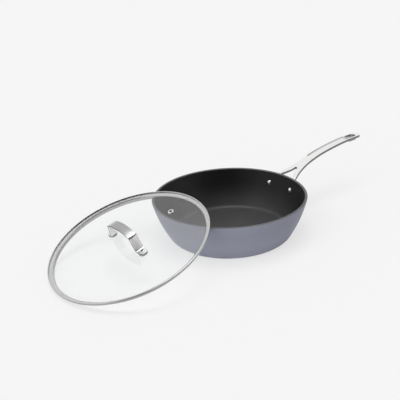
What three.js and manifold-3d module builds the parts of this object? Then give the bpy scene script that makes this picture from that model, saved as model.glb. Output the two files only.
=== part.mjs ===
// Deep frying pan with a glass lid leaning on its rim, in millimetres with +Z up.
// The origin is the centre of the base on the worktop, and the handle points along +X.
import * as THREE from "three";
import { mergeVertices } from "three/addons/utils/BufferGeometryUtils.js";
import Module from "manifold-3d";

const wasm = await Module();
wasm.setup();

// Pan shell
const rimRadius = 140;
const panHeight = 75;
const baseRadius = 100; // flat underside, out to where the corner starts
const cornerRadius = 15; // outside corner between base and side
const sideBow = 2.5; // how far the side bulges out of a straight cone
const wallThickness = 4;
const liningThickness = 0.5;
const liningGap = 0.05;

// Steel disc let into the underside
const plateRadius = 84;
const plateThickness = 0.9;
const plateGap = 0.3;

// Pan handle: its places along X are measured from the pan's rim
const handleSpine = [
  // distance out from the rim and height over it
  [-3, -15],
  [10, -6.5],
  [38, 3.5],
  [92, 17.9],
  [160, 25.6],
  [215.5, 26.4],
];
const handleThickness = 5;
const gripWidth = 21;
const gripStart = 65; // where the fork's arms have closed into the grip
const tipRounding = 10;
const forkWidth = 53; // across the outer edges of both arms at the wall
const forkGapWidth = 42; // between the inner edges of both arms at the wall
const crotchReach = 35; // end of the gap between the arms
const crotchRadius = 3.5;
const crotchFlare = 14; // width that the gap opens to as it leaves its inner end
const gapEase = 16.5; // length over which the gap's edges bend at either end
const armEase = 12; // length over which an arm's outer edge runs straight at the wall
const gripEase = 36; // length over which that edge bends into the grip
const slotStart = 178;
const slotEnd = 203.5;
const slotWidth = 14.2;
const padWidth = 20;
const padHeight = 26;
const padThickness = 4.5;
const padGap = 0.3;

// Rivets of the pan handle
const rivetDrop = 22.5; // below the rim
const rivetSpacing = 56.6;
const rivetShank = 2.5;
const rivetHoleGap = 0.15;
const rivetHead = 4.5;
const rivetHeadHeight = 2;
const rivetSeatGap = 0.3;

// Lid: its own axis is upright and its zero height is the underside that sits on the pan's rim
const lidOverhang = 3; // how far the band stands out over the pan's rim
const bandSheet = 0.5;
const bandRounding = 1.3;
const lipWidth = 2.2; // how far the band laps over the glass
const skirtClearance = 1.2; // between the skirt and the inside of the pan's rim
const skirtDepth = 7;
const skirtBend = 3.5; // rounding from the seat into the skirt, wider than the pan's rounded rim
const glassThickness = 2.6;
const glassRise = 1.5; // crown of the glass over its edge
const glassGap = 0.3;
const glassChamfer = 0.5;

// Steam vent
const ventInset = 48; // from the lid's edge
const ventBore = 2;
const ventBarrel = 3;
const ventFlange = 5;
const ventFlangeThickness = 0.8;
const ventGap = 0.3;

// Lid handle: a bent strap on two feet
const strapWidth = 16;
const strapThickness = 2.2;
const strapHeight = 32; // top of the arch over the feet
const strapArch = 6; // how far the top bows up between its bends
const bendSpacing = 66; // between the upper bends
const legSpread = 5.5; // how far each leg leans outwards
const lowerBend = 3.5;
const upperBend = 3;
const footSpacing = 94; // between the two rivets
const lidRivetShank = 2.5;
const lidRivetHead = 4.2;
const lidRivetHeadHeight = 1.6;
const gasketThickness = 0.8;
const gasketRadius = 7.5;
const washerThickness = 1;
const washerRadius = 6.5;
const stackGap = 0.1;
const stackHoleGap = 0.3;
const glassHoleGap = 1;

// How the lid rests beside the pan
const leanOverlap = 65.2; // how far the lid laps over the pan, seen from above
const leanBearing = THREE.MathUtils.degToRad(177.2); // round from the handle
const leanGap = 0.3; // to the worktop and to the rim

// Fineness of round shapes
const roundSteps = 60;
const smallSteps = 16;
const cornerSteps = 4;
const sideSteps = 5;
const noseSteps = 4;
const bendSteps = 3;
const spineSteps = 22;
const archSteps = 5;
const contactSteps = 600; // places round an edge at which its gap to the rim is tried
const closeEnough = 1e-6; // where a search for a height or an angle stops
const weldDistance = 1e-4; // corners of faces nearer than this are one corner
const throughCut = 60; // long enough for a cutter to pass right through

// A piece's finish
function finish(color, roughness, metalness) {
  return new THREE.MeshStandardMaterial({ color, roughness, metalness });
}

const paint = finish(0x868796, 0.45, 0.1);
const coating = finish(0x242426, 0.5, 0.1);
const steel = finish(0xc4c4c2, 0.3, 0.9);
const glass = finish(0xe4ebe9, 0.05, 0);
glass.transparent = true;
glass.opacity = 0.3;
const silicone = finish(0xcfd0ce, 0.8, 0);

// Flat points as a list of vectors
function vectors(pairs) {
  return pairs.map(([x, y]) => new THREE.Vector2(x, y));
}

// Points along an arc, both ends included
function arcPoints(centre, radius, from, to, steps) {
  const points = [];
  for (let i = 0; i <= steps; i++) {
    const angle = from + ((to - from) * i) / steps;
    const spoke = new THREE.Vector2(Math.cos(angle), Math.sin(angle));
    points.push(spoke.multiplyScalar(radius).add(centre));
  }
  return points;
}

// A solid turned about Z from an outline of (radius, height) that starts and ends on the axis
function turned(outline, steps) {
  const geometry = new THREE.LatheGeometry(outline, steps);
  return geometry.rotateX(Math.PI / 2);
}

// A ring turned about Z from an outline that closes on itself
function turnedRing(outline, steps) {
  return turned([...outline, outline[0]], steps);
}

// A closed geometry as a solid that can be added, cut and intersected
function solid(geometry) {
  const bare = geometry.clone();
  bare.deleteAttribute("normal");
  bare.deleteAttribute("uv");
  const merged = mergeVertices(bare, weldDistance);
  const vertProperties = merged.attributes.position.array;
  const triVerts = new Uint32Array(merged.index.array);
  return new wasm.Manifold(new wasm.Mesh({ numProp: 3, vertProperties, triVerts }));
}

// A solid as a geometry again
function shaped(made) {
  const mesh = made.getMesh();
  const geometry = new THREE.BufferGeometry();
  geometry.setAttribute("position", new THREE.BufferAttribute(mesh.vertProperties, 3));
  geometry.setIndex(new THREE.BufferAttribute(mesh.triVerts, 1));
  geometry.computeVertexNormals();
  return geometry;
}

function piece(name, geometry, material) {
  const mesh = new THREE.Mesh(geometry, material);
  mesh.name = name;
  return mesh;
}

// A flat outline pushed out to a depth, centred on its own plane
function slab(shape, depth) {
  const geometry = new THREE.ExtrudeGeometry(shape, {
    depth,
    bevelEnabled: false,
    curveSegments: smallSteps / 2,
  });
  return geometry.translate(0, 0, -depth / 2);
}

// A round bar along Z, centred
function bar(radius, length) {
  return new THREE.CylinderGeometry(radius, radius, length, smallSteps).rotateX(Math.PI / 2);
}

// A strip of even thickness along a line of points, as a flat outline
function strip(line, thickness) {
  const left = [];
  const right = [];
  line.forEach((point, i) => {
    const before = line[Math.max(i - 1, 0)];
    const after = line[Math.min(i + 1, line.length - 1)];
    const along = after.clone().sub(before).normalize();
    const across = new THREE.Vector2(-along.y, along.x).multiplyScalar(thickness / 2);
    left.push(point.clone().add(across));
    right.push(point.clone().sub(across));
  });
  return new THREE.Shape([...right, ...left.reverse()]);
}

// A round-ended outline, longer along X
function stadium(length, width) {
  const reach = (length - width) / 2;
  const shape = new THREE.Shape();
  shape.absarc(reach, 0, width / 2, -Math.PI / 2, Math.PI / 2, false);
  shape.absarc(-reach, 0, width / 2, Math.PI / 2, Math.PI * 1.5, false);
  return shape;
}

// Side of the pan: an arc at the base, a bowed cone, and a half-round nose at the rim
const skinThickness = wallThickness + liningThickness;
const noseRadius = skinThickness / 2;
const cornerCentre = new THREE.Vector2(baseRadius, cornerRadius);
const noseCentre = new THREE.Vector2(rimRadius - noseRadius, panHeight - noseRadius);
const sideSpan = noseCentre.clone().sub(cornerCentre);
const sideTurn = Math.acos((cornerRadius - noseRadius) / sideSpan.length());
const sideAngle = sideSpan.angle() - sideTurn;
const sideNormal = new THREE.Vector2(Math.cos(sideAngle), Math.sin(sideAngle));
const sideUpwards = new THREE.Vector2(-sideNormal.y, sideNormal.x);

// A point of the side, by its share of the way up the cone and its depth under the outer surface
function sidePoint(share, depth, shortfall = 0) {
  const foot = sideNormal.clone().multiplyScalar(cornerRadius - depth).add(cornerCentre);
  const head = sideNormal.clone().multiplyScalar(noseRadius - depth).add(noseCentre);
  head.addScaledVector(sideUpwards, -shortfall);
  const fromMiddle = 2 * share - 1;
  const bow = sideBow * (1 - fromMiddle * fromMiddle);
  return foot.lerp(head, share).addScaledVector(sideNormal, bow);
}

// Outline from the base to the rim at one depth under the outer surface
function sideOutline(depth, shortfall = 0) {
  const from = -Math.PI / 2;
  const points = arcPoints(cornerCentre, cornerRadius - depth, from, sideAngle, cornerSteps);
  for (let i = 1; i <= sideSteps; i++) points.push(sidePoint(i / sideSteps, depth, shortfall));
  return points;
}

// Share of the way up the side at which its outer surface reaches a height
function shareAtHeight(height) {
  let low = 0;
  let high = 1;
  while (high - low > closeEnough) {
    const middle = (low + high) / 2;
    if (sidePoint(middle, 0).y < height) low = middle;
    else high = middle;
  }
  return low;
}

// Frame of a handle rivet: origin on the outer wall, Z straight out of the wall, Y up along it
function rivetFrame(side) {
  const share = shareAtHeight(panHeight - rivetDrop);
  const seat = sidePoint(share, 0);
  const angle = side * Math.asin(rivetSpacing / 2 / seat.x);
  const step = 0.01;
  const slope = sidePoint(share + step, 0).sub(sidePoint(share - step, 0)).normalize();
  const upwards = new THREE.Vector3(slope.x, 0, slope.y);
  const outwards = new THREE.Vector3(slope.y, 0, -slope.x);
  const sideways = new THREE.Vector3().crossVectors(upwards, outwards);
  const frame = new THREE.Matrix4().makeBasis(sideways, upwards, outwards);
  frame.setPosition(seat.x, 0, seat.y);
  return frame.premultiply(new THREE.Matrix4().makeRotationZ(angle));
}

const rivetFrames = [rivetFrame(-1), rivetFrame(1)];
const rivetHoles = rivetFrames.map((frame) =>
  solid(bar(rivetShank + rivetHoleGap, throughCut).applyMatrix4(frame)),
);

// Takes a list of cutters away from a solid
function cutAway(made, cutters) {
  return cutters.reduce((rest, cutter) => rest.subtract(cutter), made);
}

// Aluminium shell with a recess underneath and a rebate for the lining
function panBody() {
  const recess = plateThickness + plateGap;
  const recessRadius = plateRadius + plateGap;
  const outline = [
    ...vectors([[0, recess], [recessRadius, recess], [recessRadius, 0]]),
    ...sideOutline(0),
    ...arcPoints(noseCentre, noseRadius, sideAngle, sideAngle + Math.PI, noseSteps).slice(1),
    ...sideOutline(wallThickness).reverse(),
    ...vectors([[0, wallThickness]]),
  ];
  const shell = solid(turned(outline, roundSteps));
  return piece("pan_body", shaped(cutAway(shell, rivetHoles)), paint);
}

// Dark coating over the whole inside, up to the rebate under the rim
function nonstickLining() {
  const under = wallThickness + liningGap;
  const outline = [
    ...vectors([[0, under]]),
    ...sideOutline(under, liningGap),
    ...sideOutline(skinThickness, liningGap).reverse(),
    ...vectors([[0, skinThickness]]),
  ];
  const skin = solid(turned(outline, roundSteps));
  return piece("nonstick_lining", shaped(cutAway(skin, rivetHoles)), coating);
}

function inductionPlate() {
  const outline = vectors([
    [0, 0],
    [plateRadius, 0],
    [plateRadius, plateThickness],
    [0, plateThickness],
  ]);
  return piece("induction_plate", turned(outline, roundSteps), steel);
}

// Middle line of the handle seen from the side, as distance from the pan's axis and height
const spine = handleSpine.map(([out, up]) => [rimRadius + out, panHeight + up]);
const [spineStart] = spine[0];
const [spineTip, spineTop] = spine[spine.length - 1];

// Seen from above: two arms that close into a grip with a rounded tip, and a slot to hang it by
function handlePlan() {
  const start = spineStart - padThickness;
  const grip = rimRadius + gripStart;
  const tipCentre = spineTip - tipRounding;
  const half = gripWidth / 2;
  const outer = forkWidth / 2;
  const inner = forkGapWidth / 2;
  const crotch = rimRadius + crotchReach - crotchRadius;
  const flare = crotchFlare / 2;
  const gapOut = start + gapEase;
  const gapIn = crotch - gapEase;
  const armOut = start + armEase;
  const armIn = grip - gripEase;
  const shape = new THREE.Shape();
  shape.moveTo(start, inner);
  shape.bezierCurveTo(gapOut, inner, gapIn, flare, crotch, crotchRadius);
  shape.absarc(crotch, 0, crotchRadius, Math.PI / 2, -Math.PI / 2, true);
  shape.bezierCurveTo(gapIn, -flare, gapOut, -inner, start, -inner);
  shape.lineTo(start, -outer);
  shape.bezierCurveTo(armOut, -outer, armIn, -half, grip, -half);
  shape.lineTo(tipCentre, -half);
  shape.absellipse(tipCentre, 0, tipRounding, half, -Math.PI / 2, Math.PI / 2, false);
  shape.lineTo(grip, half);
  shape.bezierCurveTo(armIn, half, armOut, outer, start, outer);
  shape.closePath();
  const slot = stadium(slotEnd - slotStart, slotWidth);
  const middle = rimRadius + (slotStart + slotEnd) / 2;
  const hole = slot.getPoints(smallSteps / 2).map((p) => new THREE.Vector2(p.x + middle, p.y));
  shape.holes.push(new THREE.Path(hole));
  return shape;
}

// Everything inside the pan's outer surface, a little larger, to keep the handle clear of the wall
function panEnvelope() {
  const side = sideOutline(-padGap);
  const top = side[side.length - 1];
  const outline = [
    ...vectors([[0, -padGap]]),
    ...side,
    ...vectors([[top.x, spineTop], [0, spineTop]]),
  ];
  return solid(turned(outline, roundSteps));
}

// Pads that follow the wall, one at each rivet
function handlePads() {
  const inner = sideOutline(-padGap).slice(1);
  const outer = sideOutline(-padGap - padThickness).slice(1);
  const band = solid(turnedRing([...outer, ...inner.reverse()], roundSteps));
  return rivetFrames.map((frame) => {
    const block = slab(stadium(padHeight, padWidth), throughCut).rotateZ(Math.PI / 2);
    return band.intersect(solid(block.applyMatrix4(frame)));
  });
}

function panHandle() {
  const line = new THREE.SplineCurve(vectors(spine)).getSpacedPoints(spineSteps);
  const ribbon = slab(strip(line, handleThickness), forkWidth + padWidth).rotateX(Math.PI / 2);
  const plan = slab(handlePlan(), 2 * (spineTop + throughCut));
  let made = solid(ribbon).intersect(solid(plan));
  for (const pad of handlePads()) made = made.add(pad);
  made = made.subtract(panEnvelope());
  return piece("pan_handle", shaped(cutAway(made, rivetHoles)), steel);
}

// A rivet along Z: a domed head at each end of its shank, the heads' undersides at two heights
function rivetGeometry(shank, head, headHeight, lower, upper) {
  const round = (head * head + headHeight * headHeight) / (2 * headHeight);
  const reach = Math.asin(head / round);
  const lowCentre = new THREE.Vector2(0, lower - headHeight + round);
  const highCentre = new THREE.Vector2(0, upper + headHeight - round);
  const down = -Math.PI / 2;
  const up = Math.PI / 2;
  const outline = [
    ...arcPoints(lowCentre, round, down, down + reach, bendSteps),
    ...vectors([[shank, lower], [shank, upper]]),
    ...arcPoints(highCentre, round, up - reach, up, bendSteps),
  ];
  outline[0].x = 0;
  outline[outline.length - 1].x = 0;
  return turned(outline, smallSteps);
}

function panRivets() {
  const inside = -skinThickness - rivetSeatGap;
  const outside = padGap + padThickness + rivetSeatGap;
  const names = ["pan_rivet_near", "pan_rivet_far"];
  return rivetFrames.map((frame, i) => {
    const geometry = rivetGeometry(rivetShank, rivetHead, rivetHeadHeight, inside, outside);
    return piece(names[i], geometry.applyMatrix4(frame), steel);
  });
}

// The lid is as wide as the pan that it covers, and its skirt fits inside the rim
const lidRadius = rimRadius + lidOverhang;
const skirtRadius = rimRadius - skinThickness - skirtClearance;
const ventReach = lidRadius - ventInset;
const leanReach = rimRadius + lidRadius - leanOverlap; // from the pan's axis to the lid's

// Glass in the band: underside and top by their distance from the lid's axis
const glassRadius = lidRadius - bandSheet - glassGap;
const bandHeight = 2 * bandSheet + 2 * glassGap + glassThickness;

function glassUnder(reach) {
  const share = reach / glassRadius;
  return bandSheet + glassGap + glassRise * (1 - share * share);
}

function glassOver(reach) {
  return glassUnder(reach) + glassThickness;
}

// Sides of the lid's two handle rivets, near and far, as the sign of their place along Y
const feet = [
  ["near", 1],
  ["far", -1],
];
const footReach = footSpacing / 2;

function lidGlass() {
  const under = [];
  const over = [];
  for (let i = 0; i <= cornerSteps; i++) {
    const reach = ((glassRadius - glassChamfer) * i) / cornerSteps;
    under.push(new THREE.Vector2(reach, glassUnder(reach)));
    over.push(new THREE.Vector2(reach, glassOver(reach)));
  }
  const edge = vectors([
    [glassRadius, glassUnder(glassRadius) + glassChamfer],
    [glassRadius, glassOver(glassRadius) - glassChamfer],
  ]);
  const disc = solid(turned([...under, ...edge, ...over.reverse()], roundSteps));
  const vent = bar(ventBarrel + ventGap, throughCut).translate(-ventReach, 0, 0);
  const holes = feet.map(([, sign]) =>
    bar(lidRivetShank + glassHoleGap, throughCut).translate(0, sign * footReach, 0),
  );
  const cutters = [vent, ...holes].map((hole) => solid(hole));
  return piece("lid_glass", shaped(cutAway(disc, cutters)), glass);
}

// Rolled band: a channel that holds the glass, and a skirt that drops inside the pan
function lidRim() {
  const inner = lidRadius - bandSheet;
  const lip = lidRadius - lipWidth;
  const skirtInside = skirtRadius - bandSheet;
  const corner = lidRadius - bandRounding;
  const lowCorner = new THREE.Vector2(corner, bandRounding);
  const highCorner = new THREE.Vector2(corner, bandHeight - bandRounding);
  const bendCentre = new THREE.Vector2(skirtRadius + skirtBend, -skirtBend);
  const outline = [
    new THREE.Vector2(skirtRadius, -skirtDepth),
    ...arcPoints(bendCentre, skirtBend, Math.PI, Math.PI / 2, bendSteps),
    ...arcPoints(lowCorner, bandRounding, -Math.PI / 2, 0, bendSteps),
    ...arcPoints(highCorner, bandRounding, 0, Math.PI / 2, bendSteps),
    ...vectors([
      [lip, bandHeight],
      [lip, bandHeight - bandSheet],
      [corner, bandHeight - bandSheet],
      [inner, bandHeight - bandRounding],
      [inner, bandRounding],
      [corner, bandSheet],
    ]),
    ...arcPoints(bendCentre, skirtBend + bandSheet, Math.PI / 2, Math.PI, bendSteps),
    new THREE.Vector2(skirtInside, -skirtDepth),
  ];
  return piece("lid_rim", turnedRing(outline, roundSteps), steel);
}

const ventBottom = glassUnder(ventReach + ventFlange) - ventGap - ventFlangeThickness;

function ventEyelet() {
  const top = glassOver(ventReach - ventFlange) + ventGap + ventFlangeThickness;
  const outline = vectors([
    [ventBore, ventBottom],
    [ventFlange, ventBottom],
    [ventFlange, ventBottom + ventFlangeThickness],
    [ventBarrel, ventBottom + ventFlangeThickness],
    [ventBarrel, top - ventFlangeThickness],
    [ventFlange, top - ventFlangeThickness],
    [ventFlange, top],
    [ventBore, top],
  ]);
  const mesh = piece("vent_eyelet", turnedRing(outline, smallSteps), steel);
  mesh.position.x = -ventReach;
  return mesh;
}

// Stack on each handle rivet, from the washer under the glass up to the foot above it
const gasketTop = glassUnder(footReach + gasketRadius) - stackGap;
const washerTop = gasketTop - gasketThickness - stackGap;
const rivetLow = washerTop - washerThickness - stackGap;
const upperGasketTop = glassOver(footReach - gasketRadius) + stackGap + gasketThickness;
const footUnder = upperGasketTop + stackGap;
const footOver = footUnder + strapThickness;

// Middle line of the strap from its centre to the end of one foot
function strapLine() {
  const footMiddle = footUnder + strapThickness / 2;
  const archTop = footMiddle + strapHeight;
  const bend = new THREE.Vector2(bendSpacing / 2, archTop - strapArch);
  const heel = new THREE.Vector2(bend.x + legSpread, footMiddle);
  const toe = new THREE.Vector2(footReach + strapWidth / 2, footMiddle);
  const leg = bend.clone().sub(heel).normalize();
  const points = [];
  const archEnd = bend.x - upperBend;
  for (let i = 0; i <= archSteps; i++) {
    const reach = (archEnd * i) / archSteps;
    const share = reach / bend.x;
    points.push(new THREE.Vector2(reach, archTop - strapArch * share * share));
  }
  const legTop = bend.clone().addScaledVector(leg, -upperBend);
  const legFoot = heel.clone().addScaledVector(leg, lowerBend);
  const footStart = new THREE.Vector2(heel.x + lowerBend, footMiddle);
  const shoulder = new THREE.QuadraticBezierCurve(points[archSteps], bend, legTop);
  const ankle = new THREE.QuadraticBezierCurve(legFoot, heel, footStart);
  return [...points, ...shoulder.getPoints(bendSteps).slice(1), ...ankle.getPoints(bendSteps), toe];
}

function lidHandle() {
  const half = strapLine();
  const mirrored = half.slice(1).map((p) => new THREE.Vector2(-p.x, p.y));
  const line = [...mirrored.reverse(), ...half];
  const ribbon = slab(strip(line, strapThickness), strapWidth).rotateX(Math.PI / 2);
  const plan = slab(stadium(footSpacing + strapWidth, strapWidth), 2 * throughCut);
  const holes = feet.map(([, sign]) => {
    const hole = bar(lidRivetShank + stackHoleGap, throughCut);
    return solid(hole.translate(sign * footReach, 0, 0));
  });
  const strap = cutAway(solid(ribbon).intersect(solid(plan)), holes);
  return piece("lid_handle", shaped(strap).rotateZ(Math.PI / 2), steel);
}

// A flat washer with its top face at a height
function washer(name, radius, thickness, top, material) {
  const bore = lidRivetShank + stackHoleGap;
  const outline = vectors([
    [bore, top - thickness],
    [radius, top - thickness],
    [radius, top],
    [bore, top],
  ]);
  return piece(name, turnedRing(outline, smallSteps), material);
}

// Rivet, gaskets and washer that hold one foot of the strap
function footStack(name, sign) {
  const stack = new THREE.Group();
  const high = footOver + stackGap;
  const shank = lidRivetShank;
  const rivet = rivetGeometry(shank, lidRivetHead, lidRivetHeadHeight, rivetLow, high);
  stack.add(piece(`lid_rivet_${name}`, rivet, steel));
  stack.add(washer(`upper_gasket_${name}`, gasketRadius, gasketThickness, upperGasketTop, silicone));
  stack.add(washer(`lower_gasket_${name}`, gasketRadius, gasketThickness, gasketTop, silicone));
  stack.add(washer(`steel_washer_${name}`, washerRadius, washerThickness, washerTop, steel));
  stack.position.y = sign * footReach;
  return stack;
}

// Height of the lid's seat over the worktop when it leans at an angle with its lowest edge down
function seatHeight(tilt) {
  const band = lidRadius * Math.sin(tilt);
  const skirt = skirtRadius * Math.sin(tilt) + skirtDepth * Math.cos(tilt);
  return leanGap + Math.max(band, skirt);
}

// Round edges under the lid that may meet the rim: distance uphill of the lid's axis, radius, level
const lowEdges = [
  [0, skirtRadius, -skirtDepth],
  [0, lidRadius, 0],
  [ventReach, ventFlange, ventBottom],
];

// Least gap between the lid's lower edges and the pan's rounded rim at an angle
function rimGap(tilt) {
  const height = seatHeight(tilt);
  let least = Infinity;
  for (const [centre, radius, level] of lowEdges) {
    for (let i = 0; i < contactSteps; i++) {
      const angle = (2 * Math.PI * i) / contactSteps;
      const uphill = centre - radius * Math.cos(angle);
      const x = leanReach - uphill * Math.cos(tilt) + level * Math.sin(tilt);
      const y = radius * Math.sin(angle);
      const z = height + uphill * Math.sin(tilt) + level * Math.cos(tilt);
      const reach = Math.hypot(x, y);
      const inPan = reach < rimRadius && z < noseCentre.y;
      const gap = Math.hypot(reach - noseCentre.x, z - noseCentre.y) - noseRadius;
      least = Math.min(least, inPan ? z - panHeight : gap);
    }
  }
  return least;
}

// Angle at which the lid comes to rest on the rim
function restingTilt() {
  let low = 0;
  let high = Math.PI / 3;
  while (high - low > closeEnough) {
    const middle = (low + high) / 2;
    if (rimGap(middle) < leanGap) low = middle;
    else high = middle;
  }
  return high;
}

const pan = new THREE.Group();
pan.add(panBody(), nonstickLining(), inductionPlate(), panHandle(), ...panRivets());

const lid = new THREE.Group();
lid.add(lidGlass(), lidRim(), ventEyelet(), lidHandle());
for (const [name, sign] of feet) lid.add(footStack(name, sign));
const tilt = restingTilt();
lid.rotation.y = tilt;
lid.position.set(leanReach, 0, seatHeight(tilt));

const leaning = new THREE.Group();
leaning.rotation.z = leanBearing;
leaning.add(lid);

const fryingPan = new THREE.Group();
fryingPan.add(pan, leaning);

export default fryingPan;
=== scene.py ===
"""Looks of a deep frying pan with its glass lid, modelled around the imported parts."""
import math

import bmesh
import bpy
import numpy as np
from bpy.props import FloatProperty, FloatVectorProperty, PointerProperty
from bpy.types import Operator, Panel, PropertyGroup
from mathutils import Matrix, Vector


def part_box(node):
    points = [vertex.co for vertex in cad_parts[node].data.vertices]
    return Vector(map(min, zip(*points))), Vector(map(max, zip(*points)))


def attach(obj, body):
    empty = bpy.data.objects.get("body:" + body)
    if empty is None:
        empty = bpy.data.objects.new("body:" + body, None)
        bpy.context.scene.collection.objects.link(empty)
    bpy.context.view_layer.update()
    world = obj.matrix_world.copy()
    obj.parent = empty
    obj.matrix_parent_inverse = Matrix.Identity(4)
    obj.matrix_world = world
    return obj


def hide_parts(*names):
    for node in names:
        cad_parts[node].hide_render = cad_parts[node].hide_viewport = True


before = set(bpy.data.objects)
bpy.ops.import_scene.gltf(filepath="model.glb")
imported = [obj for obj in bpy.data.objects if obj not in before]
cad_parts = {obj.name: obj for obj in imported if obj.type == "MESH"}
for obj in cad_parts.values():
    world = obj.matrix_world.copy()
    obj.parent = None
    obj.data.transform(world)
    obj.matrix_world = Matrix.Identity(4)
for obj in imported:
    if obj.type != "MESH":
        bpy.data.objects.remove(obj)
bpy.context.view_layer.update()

bl_info = {
    "name": "Deep frying pan with lid",
    "version": (1, 0, 0),
    "blender": (4, 5, 0),
    "location": "View3D > Sidebar > Frying pan",
    "description": "Models a deep frying pan and its glass lid around the packed parts",
    "category": "Object",
}

ROUND = 2 * math.pi
QUARTER = math.pi / 2

# Fineness of round shapes
PAN_STEPS = 144
SMALL_STEPS = 40
ARC_STEPS = 8
SIDE_STEPS = 14
ARM_STEPS = 14
GRIP_STEPS = 26
SLOT_STEPS = 4
STRAP_STEPS = 14
GLASS_RINGS = 22
PAD_CUTS = 5
HALVINGS = 40
SMOOTH_ANGLE = math.radians(35)
SHARP_ANGLE = math.radians(50)
WELD = 1e-6

# Rows of edges over a rounded end, as angles from its widest place to near its tip
END_ANGLES = [math.radians(a) for a in range(0, 76, 15)]
TIP_ANGLES = [math.radians(a) for a in range(10, 91, 10)]

# Shapes that follow from another size: half a turned groove's width by its depth, how far into
# a pad the arms reach by its thickness, and a dimple's outline by its radius and its depth
GROOVE_SPREAD = 4
ARM_ROOT = 0.55
DIMPLE_LINE = ((0.8, 0.8), (0.4, 1.0), (0.0, 1.0))
DRILL_LENGTH = 0.05

# The lamps shine alike from any height
LAMP_HEIGHT = 2.0

# Places of a Mix node's colour sockets, whose names its other sockets share
MIX_COLOURS = (6, 7)
MIX_RESULT = 2

# The part of a noise's values that shows
NOISE_LOW = 0.3
NOISE_HIGH = 0.7

# A face is level where its normal's Z is over the first, and runs along X where its Y is under the second
LEVEL = 0.8
STRAIGHT = 0.1

# Handle of the pan seen from the side: distance out from the rim and height over it
HANDLE_SPINE = (
    (-0.003, -0.015),
    (0.010, -0.0065),
    (0.038, 0.0035),
    (0.092, 0.0179),
    (0.160, 0.0256),
    (0.2155, 0.0264),
)


def length(name, default, description):
    """A size in metres."""
    return FloatProperty(
        name=name, description=description, default=default, min=0.0, unit="LENGTH", precision=5
    )


def degrees(name, default, description):
    """An angle, written in degrees."""
    return FloatProperty(
        name=name, description=description, default=math.radians(default), subtype="ANGLE"
    )


def amount(name, default, description, most=10.0):
    """A brightness or a share."""
    return FloatProperty(name=name, description=description, default=default, min=0.0, max=most)


def colour(name, default, description):
    """A linear colour."""
    return FloatVectorProperty(
        name=name, description=description, default=default, min=0.0, max=1.0, size=3, subtype="COLOR"
    )


class PanSizes(PropertyGroup):
    """Sizes of the pan and its handle"""

    rim_radius: length("Rim radius", 0.140, "Outside of the rim")
    height: length("Height", 0.075, "Top of the rim over the worktop")
    base_radius: length("Base radius", 0.100, "Flat underside, out to where the corner starts")
    corner_radius: length("Corner radius", 0.015, "Outside corner between base and side")
    side_bow: length("Side bow", 0.0025, "How far the side bulges out of a straight cone")
    wall: length("Wall", 0.004, "Thickness of the aluminium")
    lining: length("Lining", 0.0005, "Thickness of the dark coating")
    lining_gap: length("Lining gap", 0.00005, "Between the coating and the aluminium")
    recess: length("Recess", 0.0012, "Depth of the recess for the steel disc")
    recess_gap: length("Recess gap", 0.0003, "Round the edge of the steel disc")
    disc_groove: length("Disc groove", 0.0002, "Depth of the rings turned into the steel disc")
    disc_groove_spacing: length("Groove spacing", 0.012, "Between two rings of the steel disc")
    grip_width: length("Grip width", 0.021, "Across the grip")
    grip_start: length("Grip start", 0.065, "Where the arms have closed into the grip, from the rim")
    handle_thickness: length("Handle thickness", 0.005, "Of the handle's plate")
    handle_round: length("Handle rounding", 0.0008, "Of the handle's edges")
    tip_round: length("Tip rounding", 0.010, "Length of the rounded tip")
    fork_width: length("Fork width", 0.053, "Across the outer edges of both arms at the wall")
    fork_gap: length("Fork gap", 0.042, "Between the inner edges of both arms at the wall")
    crotch_reach: length("Crotch reach", 0.035, "End of the gap between the arms, from the rim")
    crotch_radius: length("Crotch radius", 0.0035, "Rounding where the arms meet")
    crotch_flare: length("Crotch flare", 0.014, "Width that the gap opens to as it leaves its end")
    gap_ease: length("Gap ease", 0.0165, "Length over which the gap's edges bend")
    arm_ease: length("Arm ease", 0.012, "Length over which an arm runs straight at the wall")
    grip_ease: length("Grip ease", 0.036, "Length over which an arm bends into the grip")
    slot_start: length("Slot start", 0.178, "Inner end of the hanging slot, from the rim")
    slot_end: length("Slot end", 0.2035, "Outer end of the hanging slot, from the rim")
    slot_width: length("Slot width", 0.0142, "Across the hanging slot")
    slot_round: length("Slot rounding", 0.0005, "Of the hanging slot's edges")
    lip_depth: length("Slot lip", 0.003, "How far the slot's edge is turned down under the handle")
    lip_sheet: length("Lip sheet", 0.0014, "Thickness of the slot's turned-down edge")
    lip_inset: length("Lip inset", 0.0001, "How far the turned-down edge stands back from the slot")
    dish_start: length("Dish start", 0.074, "Inner end of the dish in the grip, from the rim")
    dish_border: length("Dish border", 0.0002, "Flat left between the rounded edge of the grip and its dish")
    dish_slope: length("Dish slope", 0.0018, "Width of the slope into the dish")
    dish_depth: length("Dish depth", 0.0018, "How deep the top of the grip is dished")
    pad_width: length("Pad width", 0.020, "Across a pad on the wall")
    pad_height: length("Pad height", 0.026, "Up a pad on the wall")
    pad_thickness: length("Pad thickness", 0.0045, "Of a pad on the wall")
    pad_gap: length("Pad gap", 0.0003, "Between a pad and the wall")
    rivet_shank: length("Rivet shank", 0.0025, "Radius of a handle rivet's shank")
    rivet_head: length("Rivet head", 0.002, "Height of a handle rivet's head")


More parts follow.
